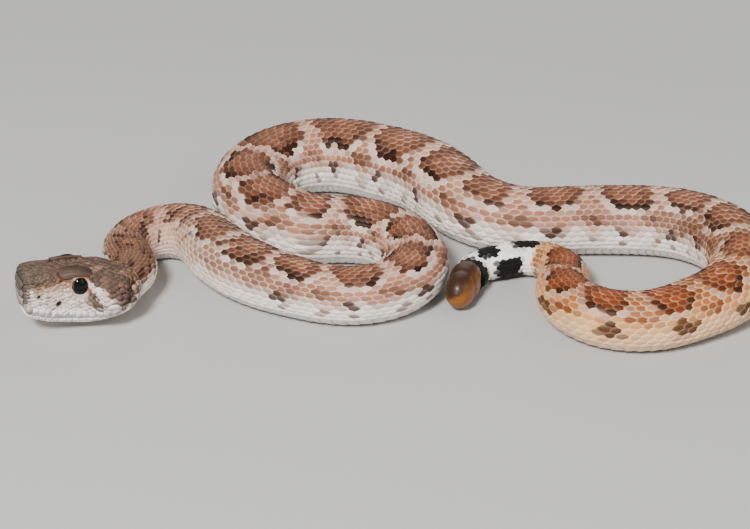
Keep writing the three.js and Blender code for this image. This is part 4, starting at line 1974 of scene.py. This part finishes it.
@dataclass(frozen=True)
class ScaleFinish:
    """The finish of scaled skin."""

    name: str
    rim_light: float
    speckle: float
    bump: float = 0.15
    relief: float = 0.06
    specular: float = 0.16

    def make(self, grain: bpy.types.NodeTree) -> bpy.types.Material:
        """Makes the material.

        Args:
            grain: The shared group.

        Returns:
            The material.
        """
        made = bpy.data.materials.new(self.name)
        made.use_nodes = True
        wiring, nodes = Wiring(made.node_tree), made.node_tree.nodes
        shader = nodes["Principled BSDF"].inputs
        group, split = nodes.new("ShaderNodeGroup"), nodes.new("ShaderNodeSeparateColor")
        group.node_tree = grain
        wiring.feed(split.inputs[0], wiring.painted("Fine"))
        for name, value in (
            ("Marking", wiring.painted("Marking")),
            ("Edge", wiring.painted("Edge")),
            ("Rim", split.outputs[0]),
            ("Keel", split.outputs[1]),
            ("Rim Share", split.outputs[2]),
            ("Rim Light", self.rim_light),
            ("Speckle", self.speckle),
        ):
            wiring.feed(group.inputs[name], value)
        bump = nodes.new("ShaderNodeBump")
        wiring.feed(bump.inputs["Strength"], self.bump)
        wiring.feed(bump.inputs["Distance"], self.relief * MM)
        wiring.feed(bump.inputs["Height"], group.outputs["Height"])
        wiring.feed(shader["Base Color"], group.outputs["Colour"])
        wiring.feed(shader["Roughness"], group.outputs["Roughness"])
        wiring.feed(shader["Normal"], bump.outputs["Normal"])
        wiring.feed(shader["Specular IOR Level"], self.specular)
        return made


@dataclass(frozen=True)
class GlossFinish:
    """A smooth painted finish, for the eyes and the horn."""

    name: str
    roughness: float
    coat: float
    grain: float
    specular: float = 0.5

    def make(self) -> bpy.types.Material:
        """Makes the material.

        Returns:
            The material.
        """
        made = bpy.data.materials.new(self.name)
        made.use_nodes = True
        wiring, nodes = Wiring(made.node_tree), made.node_tree.nodes
        tone = nodes.new("ShaderNodeVectorMath")
        tone.operation = "SCALE"
        vary = wiring.remap(wiring.noise(2600, 2), (0, 1), (1 - self.grain, 1 + self.grain))
        wiring.feed(tone.inputs[0], wiring.painted("Marking"))
        wiring.feed(tone.inputs["Scale"], vary)
        for name, value in (
            ("Base Color", tone.outputs[0]),
            ("Roughness", self.roughness),
            ("Specular IOR Level", self.specular),
            ("Coat Weight", self.coat),
            ("Coat Roughness", 0.03),
        ):
            wiring.feed(nodes["Principled BSDF"].inputs[name], value)
        return made


@dataclass
class Studio:
    """The floor, the lights and the camera."""

    target: tuple[float, float, float] = (-4.9996, -1.9144, 0.0)
    elevation: float = 28.0
    distance: float = 520.0
    focal: float = 2808.0
    picture_width: float = 750.0
    sensor: float = 36.0

    def build(self) -> None:
        """Builds the studio."""
        self._floor()
        self._lights()
        self._camera()

    def _floor(self) -> None:
        """Lays a plain pale floor."""
        bpy.ops.mesh.primitive_plane_add(size=6)
        floor = bpy.context.object
        floor.name = "floor"
        made = bpy.data.materials.new("pale floor")
        made.use_nodes = True
        shader = made.node_tree.nodes["Principled BSDF"]
        shader.inputs["Base Color"].default_value = (0.50, 0.49, 0.48, 1)
        shader.inputs["Roughness"].default_value = 0.85
        floor.data.materials.append(made)

    def _lights(self) -> None:
        """Sets a soft key near the camera, a fill and an even sky."""
        for name, spot, size, power in (
            ("key", (-0.22, -0.60, 0.58), 0.16, 11.5),
            ("fill", (0.75, -0.35, 0.55), 0.7, 2.4),
            ("rim", (0.1, 0.8, 0.6), 0.8, 2.2),
        ):
            light = bpy.data.lights.new(name, "AREA")
            light.energy = power
            light.size = size
            holder = bpy.data.objects.new(name, light)
            holder.location = spot
            aim = Vector(self.target) * MM - holder.location
            holder.rotation_euler = aim.to_track_quat("-Z", "Y").to_euler()
            bpy.context.scene.collection.objects.link(holder)
        world = bpy.data.worlds.new("studio")
        world.use_nodes = True
        sky = world.node_tree.nodes["Background"]
        sky.inputs["Color"].default_value = (1, 1, 1, 1)
        sky.inputs["Strength"].default_value = 0.28
        bpy.context.scene.world = world

    def _camera(self) -> None:
        """Places the camera at the photograph's angle."""
        lens = bpy.data.cameras.new("camera")
        lens.sensor_width = self.sensor
        lens.lens = self.focal / self.picture_width * self.sensor
        lens.clip_start = 0.01
        holder = bpy.data.objects.new("camera", lens)
        angle = math.radians(self.elevation)
        away = Vector((0, -math.cos(angle), math.sin(angle))) * self.distance * MM
        holder.location = Vector(self.target) * MM + away
        holder.rotation_euler = (-away).to_track_quat("-Z", "Y").to_euler()
        bpy.context.scene.collection.objects.link(holder)
        bpy.context.scene.camera = holder


LENGTHS = (
    Length("neck", 0, 28),
    Length("forebody", 28, 54),
    Length("front_run", 54, 76),
    Length("front_bend", 76, 100),
    Length("inner_run", 100, 128),
    Length("left_bend", 128, 158),
    Length("back_run", 158, 188),
    Length("cross_run", 188, 216),
    Length("middle_run", 216, 242),
    Length("right_bend", 242, 268, 23),
    Length("return_run", 268, 290, 21),
    Length("hind_bend", 290, 312, 19),
    Length("tail", 312, 337.5, 15),
)


def main() -> None:
    """Builds the snake and its studio, and reports each piece."""
    logging.basicConfig(level=logging.INFO, format="%(name)s: %(message)s")
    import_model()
    line = BackLine()
    body, head, markings = BodyForm(line), HeadForm(line), Markings()
    grain = scale_grain()
    scaled = ScaleFinish("keeled scales", rim_light=0.95, speckle=0.35).make(grain)
    between = ScaleFinish("skin between scales", rim_light=0.0, speckle=0.35).make(grain)
    plated = ScaleFinish("head plates", rim_light=0.28, speckle=0.3, bump=0.1).make(grain)
    belly = ScaleFinish("belly scutes", rim_light=0.0, speckle=0.0, bump=0.06).make(grain)
    skin = Skin(body, head, markings).build()
    skin.data.materials.append(between)
    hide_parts("head", "lower_jaw", *[length.name for length in LENGTHS])
    log.info("skin: %d faces", len(skin.data.polygons))
    for length in LENGTHS:
        coat = BodyScales(body, markings).build(length)
        coat.data.materials.append(scaled)
        scutes = BellyScutes(body, markings).build(length)
        scutes.data.materials.append(belly)
        log.info("%s: %d and %d faces", length.name, len(coat.data.polygons), len(scutes.data.polygons))
    for piece in HeadScales(head, markings).build():
        piece.data.materials.append(plated)
        log.info("%s: %d faces", piece.name, len(piece.data.polygons))
    clear = GlossFinish("clear eye scale", roughness=0.06, coat=0.0, grain=0.1, specular=0.22).make()
    for side in Side:
        Eye(head, side).build().data.materials.append(clear)
    horn = GlossFinish("amber horn", roughness=0.42, coat=0.12, grain=0.45, specular=0.35).make()
    Button(body).build().data.materials.append(horn)
    Studio().build()
    log.info("all pieces built")


if __name__ == "__main__":
    main()
